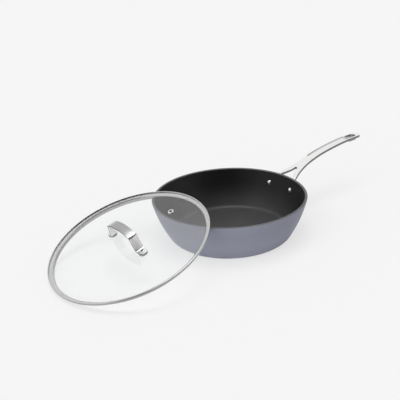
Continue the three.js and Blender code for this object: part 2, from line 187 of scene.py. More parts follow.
class LidSizes(PropertyGroup):
    """Sizes of the lid and what is fixed to it"""

    skirt_depth: length("Skirt depth", 0.007, "How far the skirt drops under the lid's seat")
    sheet: length("Band sheet", 0.0005, "Thickness of the rolled band")
    band_round: length("Band rounding", 0.0013, "Of the band's outer edges")
    band_height: length("Band height", 0.0042, "Of the band over the lid's seat")
    lip: length("Lip", 0.0022, "How far the band laps over the glass")
    skirt_inset: length("Skirt inset", 0.0087, "From the band's edge to the skirt")
    skirt_bend: length("Skirt bend", 0.0035, "Rounding from the seat into the skirt")
    glass: length("Glass", 0.0026, "Thickness of the glass")
    glass_rise: length("Glass rise", 0.0015, "Crown of the glass over its edge")
    glass_gap: length("Glass gap", 0.0003, "Between the glass and the band")
    glass_round: length("Glass rounding", 0.0012, "Of the edge of the glass")
    hole_gap: length("Hole gap", 0.001, "Between a rivet and its hole in the glass")
    vent_bore: length("Vent bore", 0.002, "Radius of the hole that lets steam out")
    vent_barrel: length("Vent barrel", 0.003, "Radius of the eyelet's barrel")
    vent_flange: length("Vent flange", 0.0008, "Thickness of the eyelet's flanges")
    vent_gap: length("Vent gap", 0.0003, "Between the eyelet and its hole")
    strap: length("Strap", 0.0022, "Thickness of the strap")
    strap_round: length("Strap rounding", 0.0004, "Of the strap's edges")
    strap_arch: length("Strap arch", 0.006, "How far the strap's top bows up between its bends")
    bend_spacing: length("Bend spacing", 0.066, "Between the upper bends of the strap")
    leg_spread: length("Leg spread", 0.0055, "How far each leg leans outwards")
    lower_bend: length("Lower bend", 0.0035, "Size of the bends at the feet")
    upper_bend: length("Upper bend", 0.003, "Size of the bends at the top")
    rivet_shank: length("Rivet shank", 0.0025, "Radius of a lid rivet's shank")
    rivet_head: length("Rivet head", 0.0016, "Height of a lid rivet's head")
    dimple: length("Dimple", 0.0026, "Radius of the dimple in a lid rivet's head")
    dimple_depth: length("Dimple depth", 0.0013, "Of the dimple in a lid rivet's head")
    stack_bore: length("Stack bore", 0.0028, "Radius of the hole in gaskets and washers")
    washer_round: length("Washer rounding", 0.0002, "Of the edges of gaskets and washers")


class Finishes(PropertyGroup):
    """Colours of the pan, its lid and the stage"""

    paint: colour("Paint", (0.27, 0.277, 0.343), "Outside of the pan")
    rim_coat: colour("Rim", (0.16, 0.162, 0.17), "Coating that runs over the rim")
    # The coating runs from the rim colour down to the floor colour: painted shade on the upper wall, painted
    # light on the floor. The floor colour also tints the specks
    coating: colour("Coating", (0.0055, 0.0055, 0.006), "Inside of the pan at its rim")
    coating_lit_floor_and_specks: colour("Coating floor", (0.066, 0.066, 0.069), "Inside of the pan at its floor")
    bright_steel: colour("Bright steel", (0.93, 0.93, 0.925), "Polished top of the pan's handle")
    # Dull steel of worn and cut edges; on the sides of the handle and strap it is partly painted shade, and
    # a fifth of it is the painted shade in holes
    dull_steel: colour("Dull steel", (0.22, 0.22, 0.22), "Cut edges of sheet and plate")
    strap_steel: colour("Strap steel", (0.93, 0.93, 0.925), "Brushed strap of the lid")
    band_steel: colour("Band steel", (0.62, 0.62, 0.615), "Rolled band of the lid")
    # Painted reflection: the band's outer wall and skirt are the same steel as its top, painted darker where
    # they mirror the unlit side
    band_shaded_side: colour("Band side", (0.4, 0.4, 0.4), "Outer wall of the band and its skirt")
    rivet_steel: colour("Rivet steel", (0.92, 0.92, 0.91), "Heads of the rivets")
    plate_steel: colour("Plate steel", (0.5, 0.5, 0.49), "Disc under the pan")
    glass: colour("Glass", (0.985, 0.992, 0.99), "Tempered glass")
    silicone: colour("Silicone", (0.55, 0.56, 0.555), "Seals under the strap's feet")
    floor: colour("Floor", (0.913, 0.913, 0.913), "Plain floor and backdrop")


class StageSizes(PropertyGroup):
    """Camera, light and floor"""

    eye: FloatVectorProperty(
        name="Eye",
        description="Place of the camera",
        default=(-0.84775, -0.97485, 0.6193),
        unit="LENGTH",
        subtype="TRANSLATION",
    )
    sight: FloatVectorProperty(
        name="Sight",
        description="Direction of view",
        default=(0.57435, 0.71836, -0.39254),
        subtype="DIRECTION",
    )
    roll: degrees("Roll", -3.107, "Turn of the camera about its view")
    lens: FloatProperty(name="Lens", description="Focal length", default=69.83, min=1.0, unit="CAMERA")
    floor_size: length("Floor size", 60.0, "Across the floor")
    floor_drop: length("Floor drop", 0.0002, "How far the floor lies under the pan's base")
    sky: amount("Sky", 0.42, "Light from all round")
    backdrop: amount("Backdrop", 0.913, "Brightness that is seen all round")
    white: amount("White", 0.985, "Brightness that the floor shows without shade")
    floor_glow: amount("Floor glow", 0.65, "Share of the floor that is seen without shade", 1.0)
    dark_side: amount("Dark side", 0.05, "Brightness of the unlit side")
    dark_bearing: degrees("Dark bearing", 240, "Of the unlit side, round the pan")
    dark_height: degrees("Dark height", 42, "Of the middle of the unlit side")
    key: amount("Key", 1.45, "Light of the wide lamp by the camera")
    key_width: degrees("Key width", 60, "How wide the lamp by the camera looks")
    key_tilt: degrees("Key tilt", 64, "Of the lamp by the camera from overhead")
    key_bearing: degrees("Key bearing", 192, "Of the lamp by the camera, round the pan")
    top: amount("Top", 0.8, "Light of the softbox overhead")
    top_width: degrees("Top width", 34, "How wide the softbox looks")


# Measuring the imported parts


def node_points(name, place=None):
    """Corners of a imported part, in a place's own axes if one is given."""
    points = np.array([corner.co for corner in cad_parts[name].data.vertices])
    if place is None:
        return points
    inverse = np.array(place.inverted())
    return points @ inverse[:3, :3].T + inverse[:3, 3]


def local_box(name, place):
    """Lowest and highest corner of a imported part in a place's own axes."""
    points = node_points(name, place)
    return Vector(points.min(0)), Vector(points.max(0))


def lid_place(lid):
    """Where the lid leans: its seat's centre, with Z along its axis and X downhill."""
    points = node_points("lid_rim")
    centre = points.mean(0)
    axis = np.linalg.svd(points - centre, full_matrices=False)[2][2]
    axis = Vector(axis if axis[2] > 0 else -axis)
    lowest = min((points - centre) @ np.array(axis))
    seat = Vector(centre) + axis * (lowest + lid.skirt_depth)
    bearing = math.atan2(axis.y, axis.x)
    lean = math.acos(axis.z)
    return Matrix.Translation(seat) @ Matrix.Rotation(bearing, 4, "Z") @ Matrix.Rotation(lean, 4, "Y")


def on_lid(place, low, high, height=0.0):
    """The lid's place moved to the middle of a box in its own axes, at a height over its seat."""
    middle = (low + high) / 2
    return place @ Matrix.Translation((middle.x, middle.y, height))


def rivet_place(name):
    """Inner end of a handle rivet, with Z outwards along its shank and Y up, and the rivet's length."""
    points = node_points(name)
    centre = points.mean(0)
    axis = Vector(np.linalg.svd(points - centre, full_matrices=False)[2][0])
    if axis.x < 0:
        axis.negate()
    reach = (points - centre) @ np.array(axis)
    sideways = Vector((0, 0, 1)).cross(axis).normalized()
    turn = Matrix((sideways, axis.cross(sideways), axis)).transposed().to_4x4()
    inner_end = Vector(centre) + axis * min(reach)
    return Matrix.Translation(inner_end) @ turn, max(reach) - min(reach)


# Outlines of turned pieces, as distance from the axis and height


def arc(centre, radius, start, end, steps=ARC_STEPS):
    """Points along an arc, both ends included."""
    angles = [start + (end - start) * i / steps for i in range(steps + 1)]
    return [(centre[0] + radius * math.cos(a), centre[1] + radius * math.sin(a)) for a in angles]


def side_axes(pan):
    """Centres of the corner and of the rim's nose, the nose's radius and the angle of the side."""
    nose = (pan.wall + pan.lining) / 2
    corner = Vector((pan.base_radius, pan.corner_radius))
    top = Vector((pan.rim_radius - nose, pan.height - nose))
    span = top - corner
    angle = math.atan2(span.y, span.x) - math.acos((pan.corner_radius - nose) / span.length)
    return corner, top, nose, angle


def side_line(pan, depth, shortfall=0.0):
    """The pan's side from base to rim, at a depth under its outer surface."""
    corner, top, nose, angle = side_axes(pan)
    outwards = Vector((math.cos(angle), math.sin(angle)))
    upwards = Vector((-outwards.y, outwards.x))
    foot = corner + outwards * (pan.corner_radius - depth)
    head = top + outwards * (nose - depth) - upwards * shortfall
    points = arc(corner, pan.corner_radius - depth, -QUARTER, angle)
    for i in range(1, SIDE_STEPS + 1):
        share = i / SIDE_STEPS
        bow = pan.side_bow * (1 - (2 * share - 1) ** 2)
        points.append(tuple(foot.lerp(head, share) + outwards * bow))
    return points


def rivet_line(shank, head, head_height, total):
    """A rivet from its lower end up: a domed head, the shank and another head."""
    dome = (head * head + head_height * head_height) / (2 * head_height)
    reach = math.asin(head / dome)
    low = arc((0, dome), dome, -QUARTER, reach - QUARTER)
    high = arc((0, total - dome), dome, QUARTER - reach, QUARTER)
    return [(0, 0), *low[1:], (shank, head_height), (shank, total - head_height), *high[:-1], (0, total)]


def dimpled(outline, radius, depth):
    """An outline that ends on its axis at the top, with a round dimple sunk into that end."""
    top = outline[-1][1]
    kept = outline[:-1]
    while kept[-1][0] < radius:
        kept.pop()
    edge = (radius, kept[-1][1])
    return [*kept, edge, *((radius * out, top - depth * down) for out, down in DIMPLE_LINE)]


def washer_line(bore, radius, low, high, rounding):
    """A closed outline of a flat ring with softened outer edges."""
    inset = radius - rounding
    return [
        (bore, low),
        *arc((inset, low + rounding), rounding, -QUARTER, 0),
        *arc((inset, high - rounding), rounding, 0, QUARTER),
        (bore, high),
        (bore, low),
    ]


# Modelling with Blender's own tools


def open_piece(name):
    """Adds a piece that is one corner at the origin, open for editing."""
    bpy.ops.object.select_all(action="DESELECT")
    bpy.ops.mesh.primitive_plane_add(location=(0, 0, 0))
    piece = bpy.context.object
    piece.name = name
    piece.data.name = name
    bpy.ops.object.mode_set(mode="EDIT")
    bpy.ops.mesh.select_mode(type="VERT")
    bpy.ops.mesh.select_all(action="SELECT")
    bpy.ops.mesh.merge(type="CENTER")
    return piece


def close_piece(outwards=True):
    """Merges corners that meet, turns the faces outwards and ends editing."""
    bpy.ops.mesh.select_all(action="SELECT")
    bpy.ops.mesh.remove_doubles(threshold=WELD)
    if outwards:
        bpy.ops.mesh.normals_make_consistent(inside=False)
    bpy.ops.object.mode_set(mode="OBJECT")


def pull_line(points):
    """Pulls the one open corner along a line of points."""
    bpy.ops.transform.translate(value=points[0])
    for before, after in zip(points, points[1:]):
        step = Vector(after) - Vector(before)
        bpy.ops.mesh.extrude_vertices_move(TRANSFORM_OT_translate={"value": step})


def turned(name, outline, steps):
    """A piece spun about Z from an outline of distance and height."""
    piece = open_piece(name)
    pull_line([(reach, 0, height) for reach, height in outline])
    bpy.ops.mesh.select_all(action="SELECT")
    bpy.ops.mesh.spin(steps=steps, angle=ROUND, center=(0, 0, 0), axis=(0, 0, 1))
    close_piece()
    return piece


def ribbon(name, stations, across):
    """A strip of faces through stations of centre and width, its cross edges along one axis."""
    piece = open_piece(name)
    side = Vector([float(i == across) for i in range(3)])
    centre, width = stations[0]
    pull_line([centre - side * width / 2, centre + side * width / 2])
    bpy.ops.mesh.select_all(action="SELECT")
    bpy.ops.mesh.select_mode(type="EDGE")
    for next_centre, next_width in stations[1:]:
        step = next_centre - centre
        bpy.ops.mesh.extrude_edges_move(TRANSFORM_OT_translate={"value": step})
        stretch = [next_width / width if i == across else 1.0 for i in range(3)]
        bpy.ops.transform.resize(value=stretch, center_override=next_centre)
        centre, width = next_centre, next_width
    close_piece(outwards=False)
    return piece


def only(piece):
    """Makes a piece the one that is selected and active."""
    bpy.ops.object.select_all(action="DESELECT")
    piece.select_set(True)
    bpy.context.view_layer.objects.active = piece


def modify(piece, kind, **settings):
    """Adds a modifier with settings and applies it."""
    only(piece)
    bpy.ops.object.modifier_add(type=kind)
    modifier = piece.modifiers[-1]
    for name, value in settings.items():
        setattr(modifier, name, value)
    bpy.ops.object.modifier_apply(modifier=modifier.name)


def merge_piece(piece):
    """Merges what meets and turns the faces outwards."""
    only(piece)
    bpy.ops.object.mode_set(mode="EDIT")
    close_piece()


def thicken(piece, thickness, offset=0.0, even=True):
    """Gives a sheet of faces its thickness and turns the faces outwards."""
    modify(piece, "SOLIDIFY", thickness=thickness, offset=offset, use_even_offset=even)
    merge_piece(piece)


def soften(piece, width, segments=3):
    """Rounds all sharp edges of a piece."""
    rounding = {"width": width, "segments": segments}
    modify(piece, "BEVEL", limit_method="ANGLE", angle_limit=SHARP_ANGLE, **rounding)


def open_chosen(piece, kind, chosen):
    """Opens a piece for editing with only its chosen faces or edges selected."""
    only(piece)
    bpy.ops.object.mode_set(mode="EDIT")
    bpy.ops.mesh.select_mode(type=kind)
    bpy.ops.mesh.select_all(action="DESELECT")
    mesh = bmesh.from_edit_mesh(piece.data)
    for part in mesh.faces if kind == "FACE" else mesh.edges:
        part.select_set(chosen(part))
    bmesh.update_edit_mesh(piece.data)


def combine(piece, other, operation):
    """Joins another piece to this one or cuts it away, and removes the other."""
    modify(piece, "BOOLEAN", object=other, operation=operation, solver="EXACT")
    bpy.data.objects.remove(other)


def settle(piece, place):
    """Puts a piece in its place and leaves its object at the origin."""
    only(piece)
    piece.matrix_world = place
    bpy.ops.object.transform_apply(location=True, rotation=True, scale=True)


def dress(piece, body, material, nodes):
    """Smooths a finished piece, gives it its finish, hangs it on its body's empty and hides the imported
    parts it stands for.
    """
    only(piece)
    bpy.ops.object.shade_smooth_by_angle(angle=SMOOTH_ANGLE)
    piece.data.materials.clear()
    piece.data.materials.append(material)
    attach(piece, body)
    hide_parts(*nodes)


# Shader nodes


def node(tree, kind, **settings):
    """A new shader node with its own settings."""
    made = tree.nodes.new(kind)
    for name, value in settings.items():
        setattr(made, name, value)
    return made


def feed(tree, socket, value):
    """Links a socket to another one, or sets it to a plain value."""
    if isinstance(value, bpy.types.NodeSocket):
        tree.links.new(value, socket)
    elif value is not None:
        socket.default_value = value


def math_node(tree, operation, first, second=None):
    """A Math node on sockets or numbers, as its output socket."""
    made = node(tree, "ShaderNodeMath", operation=operation)
    for socket, value in zip(made.inputs, (first, second)):
        feed(tree, socket, value)
    return made.outputs[0]


def vector_node(tree, operation, first, second=None):
    """A Vector Math node on sockets or plain vectors, as its output sockets."""
    made = node(tree, "ShaderNodeVectorMath", operation=operation)
    for socket, value in zip(made.inputs, (first, second)):
        feed(tree, socket, value)
    return made.outputs


def own_place(tree):
    """The piece's own coordinates."""
    return node(tree, "ShaderNodeTexCoord").outputs["Object"]


def separated(tree, vector):
    """The X, Y and Z of a vector."""
    made = node(tree, "ShaderNodeSeparateXYZ")
    feed(tree, made.inputs[0], vector)
    return made.outputs


def spread(tree, value, low, high, to_low=0.0, to_high=1.0):
    """A value carried from one range to another and held inside it."""
    made = node(tree, "ShaderNodeMapRange", clamp=True)
    for socket, part in zip(made.inputs, (value, low, high, to_low, to_high)):
        feed(tree, socket, part)
    return made.outputs[0]


def blended(tree, factor, first, second):
    """A mix of two colours."""
    made = node(tree, "ShaderNodeMix", data_type="RGBA", clamp_factor=True)
    feed(tree, made.inputs[0], factor)
    for i, value in zip(MIX_COLOURS, (first, second)):
        feed(tree, made.inputs[i], value if isinstance(value, bpy.types.NodeSocket) else (*value, 1.0))
    return made.outputs[MIX_RESULT]


def from_axis(tree, vector):
    """Distance of a vector from the Z axis."""
    flat = vector_node(tree, "MULTIPLY", vector, (1.0, 1.0, 0.0))[0]
    return vector_node(tree, "LENGTH", flat)["Value"]


def noise(tree, vector, scale, detail=2.0):
    """The value of a noise texture."""
    made = node(tree, "ShaderNodeTexNoise")
    feed(tree, made.inputs["Vector"], vector)
    feed(tree, made.inputs["Scale"], scale)
    feed(tree, made.inputs["Detail"], detail)
    return made.outputs[0]


def edge_wear(group, given):
    """Mask of worn edges, broken up by noise."""
    soft = node(group, "ShaderNodeBevel", samples=6)
    feed(group, soft.inputs["Radius"], given["Radius"])
    flat = node(group, "ShaderNodeNewGeometry").outputs["Normal"]
    agree = vector_node(group, "DOT_PRODUCT", soft.outputs[0], flat)["Value"]
    turn_start, turn_end = 0.005, 0.12
    turn = spread(group, math_node(group, "SUBTRACT", 1.0, agree), turn_start, turn_end)
    patch_size, least = 180.0, 0.35
    patches = noise(group, own_place(group), patch_size)
    patches = spread(group, patches, NOISE_LOW, NOISE_HIGH, least, 1.0)
    worn = math_node(group, "MULTIPLY", turn, patches)
    return (math_node(group, "MULTIPLY", worn, given["Amount"]),)


def smudges(group, given):
    """A value that drifts slowly over a surface between two limits."""
    drift = noise(group, own_place(group), given["Scale"], detail=5.0)
    return (spread(group, drift, NOISE_LOW, NOISE_HIGH, given["Low"], given["High"]),)


def speckle(group, given):
    """Mask of small specks and a fine height for sprayed coats."""
    place = own_place(group)
    cells = node(group, "ShaderNodeTexVoronoi")
    feed(group, cells.inputs["Vector"], place)
    feed(group, cells.inputs["Scale"], given["Scale"])
    specks = spread(group, cells.outputs["Distance"], given["Share"], 0.0)
    return specks, noise(group, place, given["Scale"], detail=3.0)


def brushing(group, given):
    """Fine parallel lines along X of the given vector."""
    stretch, coarser, fine_share = 0.012, 0.3, 0.55
    drawn = vector_node(group, "MULTIPLY", given["Vector"], (stretch, 1.0, 1.0))[0]
    fine = noise(group, drawn, given["Fineness"], detail=3.0)
    coarse = math_node(group, "MULTIPLY", given["Fineness"], coarser)
    coarse = noise(group, drawn, coarse, detail=1.0)
    fine = math_node(group, "MULTIPLY", fine, fine_share)
    coarse = math_node(group, "MULTIPLY", coarse, 1.0 - fine_share)
    return (math_node(group, "ADD", fine, coarse),)


def turning(group, given):
    """Fine rings about Z of the given vector."""
    rings = node(group, "ShaderNodeTexNoise", noise_dimensions="1D")
    feed(group, rings.inputs["W"], from_axis(group, given["Vector"]))
    feed(group, rings.inputs["Scale"], given["Fineness"])
    return (rings.outputs[0],)


def belt_marks(group, given):
    """Mask of uneven streaks along X of the given vector, as a coarse belt leaves them."""
    stretch, mark_start, mark_end = 0.12, 0.42, 0.66
    drawn = vector_node(group, "MULTIPLY", given["Vector"], (stretch, 1.0, 1.0))[0]
    marks = noise(group, drawn, given["Fineness"])
    return (spread(group, marks, mark_start, mark_end),)


# Shared effects: the group's name, its inputs with their defaults, a vector having none, and its outputs
EFFECTS = {
    edge_wear: ("Edge wear", {"Radius": 0.001, "Amount": 1.0}, ("Mask",)),
    smudges: ("Smudges", {"Scale": 20.0, "Low": 0.0, "High": 1.0}, ("Value",)),
    speckle: ("Sprayed specks", {"Scale": 900.0, "Share": 0.25}, ("Mask", "Height")),
    brushing: ("Brushed lines", {"Vector": None, "Fineness": 1500.0}, ("Height",)),
    turning: ("Turned rings", {"Vector": None, "Fineness": 1500.0}, ("Height",)),
    belt_marks: ("Belt marks", {"Vector": None, "Fineness": 400.0}, ("Mask",)),
}


def effect_group(fill):
    """The shader node group of an effect, made on its first use."""
    name, inputs, outputs = EFFECTS[fill]
    group = bpy.data.node_groups.get(name)
    if group:
        return group
    group = bpy.data.node_groups.new(name, "ShaderNodeTree")
    for title, default in inputs.items():
        kind = "NodeSocketVector" if default is None else "NodeSocketFloat"
        socket = group.interface.new_socket(name=title, in_out="INPUT", socket_type=kind)
        if default is not None:
            socket.default_value = default
    for title in outputs:
        group.interface.new_socket(name=title, in_out="OUTPUT", socket_type="NodeSocketFloat")
    given = node(group, "NodeGroupInput").outputs
    out = node(group, "NodeGroupOutput").inputs
    for title, value in zip(outputs, fill(group, given)):
        feed(group, out[title], value)
    return group


def use(tree, effect, **values):
    """Places an effect's node group with its own values, and gives its outputs."""
    made = node(tree, "ShaderNodeGroup", node_tree=effect_group(effect))
    for name, value in values.items():
        feed(tree, made.inputs[name], value)
    return made.outputs


def new_material(name, **sockets):
    """A material with one Principled shader, whose plain values are given, and its node tree."""
    material = bpy.data.materials.new(name)
    material.use_nodes = True
    tree = material.node_tree
    tree.nodes.clear()
    shader = node(tree, "ShaderNodeBsdfPrincipled")
    output = node(tree, "ShaderNodeOutputMaterial")
    tree.links.new(shader.outputs[0], output.inputs["Surface"])
    for title, value in sockets.items():
        shader.inputs[title.replace("_", " ")].default_value = value
    return material, tree, shader


def raise_surface(tree, shader, height, distance):
    """Gives a shader its relief from a height."""
    bump = node(tree, "ShaderNodeBump")
    bump.inputs["Distance"].default_value = distance
    bump.inputs["Strength"].default_value = 1.0
    feed(tree, bump.inputs["Height"], height)
    feed(tree, shader.inputs["Normal"], bump.outputs[0])


def local_vector(tree, place, upright=1.0):
    """Object coordinates carried into a place's own axes, squeezed along its Z axis if wanted."""
    inverse = place.inverted()
    mapping = node(tree, "ShaderNodeMapping", vector_type="POINT")
    mapping.inputs["Location"].default_value = inverse.to_translation()
    mapping.inputs["Rotation"].default_value = inverse.to_euler("XYZ")
    feed(tree, mapping.inputs["Vector"], own_place(tree))
    return vector_node(tree, "MULTIPLY", mapping.outputs[0], (1.0, 1.0, upright))[0]


def mix_shaders(tree, factor, first, second):
    """Puts a mix of two shaders on a material's output."""
    ways = node(tree, "ShaderNodeMixShader")
    for socket, value in zip(ways.inputs, (factor, first, second)):
        feed(tree, socket, value)
    output = next(n for n in tree.nodes if n.type == "OUTPUT_MATERIAL")
    feed(tree, output.inputs["Surface"], ways.outputs[0])


def drifting(tree, tint, scale, low, high):
    """A colour that drifts over a surface between two strengths of itself."""
    drift = use(tree, smudges, Scale=scale, Low=0.0, High=1.0)["Value"]
    return blended(tree, drift, tint * low, tint * high)


def roughen(tree, shader, scale, low, high):
    """Gives a shader a roughness that drifts over the surface between two limits."""
    feed(tree, shader.inputs["Roughness"], use(tree, smudges, Scale=scale, Low=low, High=high)["Value"])


def paint_finish(pan, finishes):
    """Slate paint with a fine orange peel, running into the grey coat of the rim, and painted lighter
    towards the base as painted light from the floor.
    """
    material, tree, shader = new_material("Slate paint", Specular_IOR_Level=0.1)
    height = separated(tree, own_place(tree))["Z"]
    specks = use(tree, speckle, Scale=1400.0, Share=0.3)
    paint = Vector(finishes.paint)
    pale_speck, painted_floor_light, pale_edge = paint * 1.35, paint * 1.26, paint * 1.3
    speck_share = 0.12
    body = drifting(tree, paint, scale=9.0, low=0.97, high=1.03)
    body = blended(tree, math_node(tree, "MULTIPLY", specks["Mask"], speck_share), body, pale_speck)
    # Painted light: the paint is made lighter towards the base, standing in for light bounced up from the
    # floor
    painted_light_height = pan.height * 0.7
    body = blended(tree, spread(tree, height, painted_light_height, 0.0), body, painted_floor_light)
    nose = (pan.wall + pan.lining) / 2
    coat_start, coat_end = pan.height - nose * 0.8, pan.height - nose * 0.35
    body = blended(tree, spread(tree, height, coat_start, coat_end), body, finishes.rim_coat)
    worn = use(tree, edge_wear, Radius=0.0012, Amount=0.25)["Mask"]
    feed(tree, shader.inputs["Base Color"], blended(tree, worn, body, pale_edge))
    roughen(tree, shader, scale=25.0, low=0.46, high=0.56)
    raise_surface(tree, shader, specks["Height"], distance=0.00004)
    return material


def coating_finish(pan, finishes):
    """Dark non-stick coating with fine specks, painted from near black at the rim to grey at the floor as
    painted shade and light.
    """
    material, tree, shader = new_material("Non-stick coating", Specular_IOR_Level=0.4)
    specks = use(tree, speckle, Scale=1100.0, Share=0.28)
    height = separated(tree, own_place(tree))["Z"]
    # Painted shade and light: the coat goes from near black high on the wall to grey on the floor
    painted_light_height, speck_share = pan.height * 0.75, 0.3
    down = spread(tree, height, painted_light_height, pan.wall)
    down = math_node(tree, "MULTIPLY", down, down)
    body = blended(tree, down, finishes.coating, finishes.coating_lit_floor_and_specks)
    drift = use(tree, smudges, Scale=14.0, Low=0.0, High=0.3)["Value"]
    body = blended(tree, drift, body, finishes.coating)
    specked = math_node(tree, "MULTIPLY", specks["Mask"], speck_share)
    feed(tree, shader.inputs["Base Color"], blended(tree, specked, body, finishes.coating_lit_floor_and_specks))
    roughen(tree, shader, scale=30.0, low=0.4, high=0.5)
    raise_surface(tree, shader, specks["Height"], distance=0.00005)
    return material


def steel_finish(name, steel, dull, grain, smooth, rough, relief, edge):
    """Steel with a grain in its relief and roughness, and dull worn edges. Gives its tree and shader too.

    The grain is a function that adds its nodes to a tree. Smooth and rough are the limits of roughness.
    """
    material, tree, shader = new_material(name, Metallic=1.0)
    lines = grain(tree)
    steel = Vector(steel)
    dark_line, line_share = steel * 0.82, 0.35
    body = drifting(tree, steel, scale=35.0, low=0.96, high=1.03)
    body = blended(tree, math_node(tree, "MULTIPLY", lines, line_share), body, dark_line)
    worn = use(tree, edge_wear, Radius=edge, Amount=0.6)["Mask"]
    feed(tree, shader.inputs["Base Color"], blended(tree, worn, body, dull))
    feed(tree, shader.inputs["Roughness"], spread(tree, lines, NOISE_LOW, NOISE_HIGH, smooth, rough))
    raise_surface(tree, shader, lines, relief)
    return material, tree, shader


def rings_about(place):
    """Grain of fine rings about a place's Z axis."""

    def grain(tree):
        return use(tree, turning, Vector=local_vector(tree, place), Fineness=2200.0)["Height"]

    return grain


def lines_along(place, upright=1.0):
    """Grain of fine lines along a place's X axis, and along its Z axis where that is squeezed."""

    def grain(tree):
        return use(tree, brushing, Vector=local_vector(tree, place, upright), Fineness=1800.0)["Height"]

    return grain


def overlay(tree, shader, mask, tint, rougher):
    """Lays a colour over a shader's own where a mask says, and makes it rougher there."""
    before = shader.inputs["Base Color"].links[0].from_socket
    feed(tree, shader.inputs["Base Color"], blended(tree, mask, before, tint))
    rough = shader.inputs["Roughness"].links[0].from_socket
    extra = math_node(tree, "MULTIPLY", mask, rougher)
    feed(tree, shader.inputs["Roughness"], math_node(tree, "ADD", rough, extra))


def dull_and_shaded_sides(tree, shader, tint, direction, start, end, where=1.0):
    """Gives faces a dark tint by how nearly they face along a direction, either way: on cut edges partly
    dull cut metal, and on all such faces painted shade where they mirror the unlit side.
    """
    normal = node(tree, "ShaderNodeNewGeometry").outputs["Normal"]
    facing = vector_node(tree, "DOT_PRODUCT", normal, direction)["Value"]
    side = spread(tree, math_node(tree, "ABSOLUTE", facing), start, end)
    overlay(tree, shader, math_node(tree, "MULTIPLY", side, where), tint, rougher=0.2)


def shade_bore(tree, shader, place, reach, dull):
    """Paints shade into the inside of a hole about a place's Z axis."""
    out = from_axis(tree, local_vector(tree, place))
    shade_end, bore_shade = reach * 0.85, Vector(dull) * 0.2
    overlay(tree, shader, spread(tree, out, reach, shade_end), bore_shade, rougher=0.4)


def glass_finish(finishes):
    """Clear glass with faint wipe marks, which lets the lamps through."""
    material, tree, shader = new_material("Tempered glass", IOR=1.5, Transmission_Weight=1.0)
    clear = drifting(tree, Vector(finishes.glass), scale=11.0, low=1.0, high=0.995)
    feed(tree, shader.inputs["Base Color"], clear)
    roughen(tree, shader, scale=40.0, low=0.0, high=0.02)
    shadow = node(tree, "ShaderNodeLightPath").outputs["Is Shadow Ray"]
    through = node(tree, "ShaderNodeBsdfTransparent")
    mix_shaders(tree, shadow, shader.outputs[0], through.outputs[0])
    return material


def silicone_finish(finishes):
    """Cloudy grey silicone."""
    material, tree, shader = new_material("Silicone", Specular_IOR_Level=0.3)
    soft = Vector(finishes.silicone)
    pale_edge = soft * 1.2
    worn = use(tree, edge_wear, Radius=0.0004, Amount=0.3)["Mask"]
    body = drifting(tree, soft, scale=120.0, low=0.92, high=1.05)
    feed(tree, shader.inputs["Base Color"], blended(tree, worn, body, pale_edge))
    roughen(tree, shader, scale=200.0, low=0.55, high=0.7)
    raise_surface(tree, shader, noise(tree, own_place(tree), scale=2500.0), distance=0.00003)
    return material


# Operators, one for each piece or group of like pieces


class FRYING_PAN_OT_shell(Operator):
    """Turn the painted aluminium shell of the pan"""

    bl_idname = "frying_pan.shell"
    bl_label = "Painted shell"

    def execute(self, context):
        pan, finishes = context.scene.pan_sizes, context.scene.pan_finishes
        top, nose, angle = side_axes(pan)[1:]
        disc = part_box("induction_plate")[1].x + pan.recess_gap
        outline = [
            (0, pan.recess),
            (disc, pan.recess),
            (disc, 0),
            *side_line(pan, 0.0),
            *arc(top, nose, angle, angle + math.pi)[1:],
            *reversed(side_line(pan, pan.wall)),
            (0, pan.wall),
        ]
        piece = turned("painted_shell", outline, PAN_STEPS)
        dress(piece, "pan", paint_finish(pan, finishes), ["pan_body"])
        return {"FINISHED"}


class FRYING_PAN_OT_lining(Operator):
    """Turn the dark coating on the inside of the pan"""

    bl_idname = "frying_pan.lining"
    bl_label = "Non-stick lining"

    def execute(self, context):
        pan, finishes = context.scene.pan_sizes, context.scene.pan_finishes
        under = pan.wall + pan.lining_gap
        over = pan.wall + pan.lining
        outline = [
            (0, under),
            *side_line(pan, under, pan.lining_gap),
            *reversed(side_line(pan, over, pan.lining_gap)),
            (0, over),
        ]
        piece = turned("nonstick_inside", outline, PAN_STEPS)
        dress(piece, "pan", coating_finish(pan, finishes), ["nonstick_lining"])
        return {"FINISHED"}


class FRYING_PAN_OT_base_disc(Operator):
    """Turn the grooved steel disc under the pan"""

    bl_idname = "frying_pan.base_disc"
    bl_label = "Base disc"

    def execute(self, context):
        pan, finishes = context.scene.pan_sizes, context.scene.pan_finishes
        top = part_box("induction_plate")[1]
        grooves = int(top.x / pan.disc_groove_spacing)
        outline = [(0, 0)]
        for i in range(1, grooves):
            middle = i * pan.disc_groove_spacing
            half = pan.disc_groove * GROOVE_SPREAD
            outline += [(middle - half, 0), (middle, pan.disc_groove), (middle + half, 0)]
        outline += arc((top.x - pan.disc_groove, pan.disc_groove), pan.disc_groove, -QUARTER, 0)
        outline += [(top.x, top.z), (0, top.z)]
        piece = turned("base_disc", outline, PAN_STEPS)
        steel, dull, grain = finishes.plate_steel, finishes.dull_steel, rings_about(Matrix.Identity(4))
        look = {"smooth": 0.28, "rough": 0.42, "relief": 0.00003, "edge": 0.0006}
        material = steel_finish("Turned base steel", steel, dull, grain, **look)[0]
        dress(piece, "pan", material, ["induction_plate"])
        return {"FINISHED"}


def bend_at(reach, start, pull, end, push):
    """Height at a distance on a curve between two points, each of which has a handle that bends it."""
    low, high = 0.0, 1.0
    for _ in range(HALVINGS):
        share = (low + high) / 2
        rest = 1 - share
        weights = (rest**3, 3 * rest * rest * share, 3 * rest * share * share, share**3)
        across = sum(w * p[0] for w, p in zip(weights, (start, pull, push, end)))
        low, high = (share, high) if across < reach else (low, share)
    return sum(w * p[1] for w, p in zip(weights, (start, pull, push, end)))


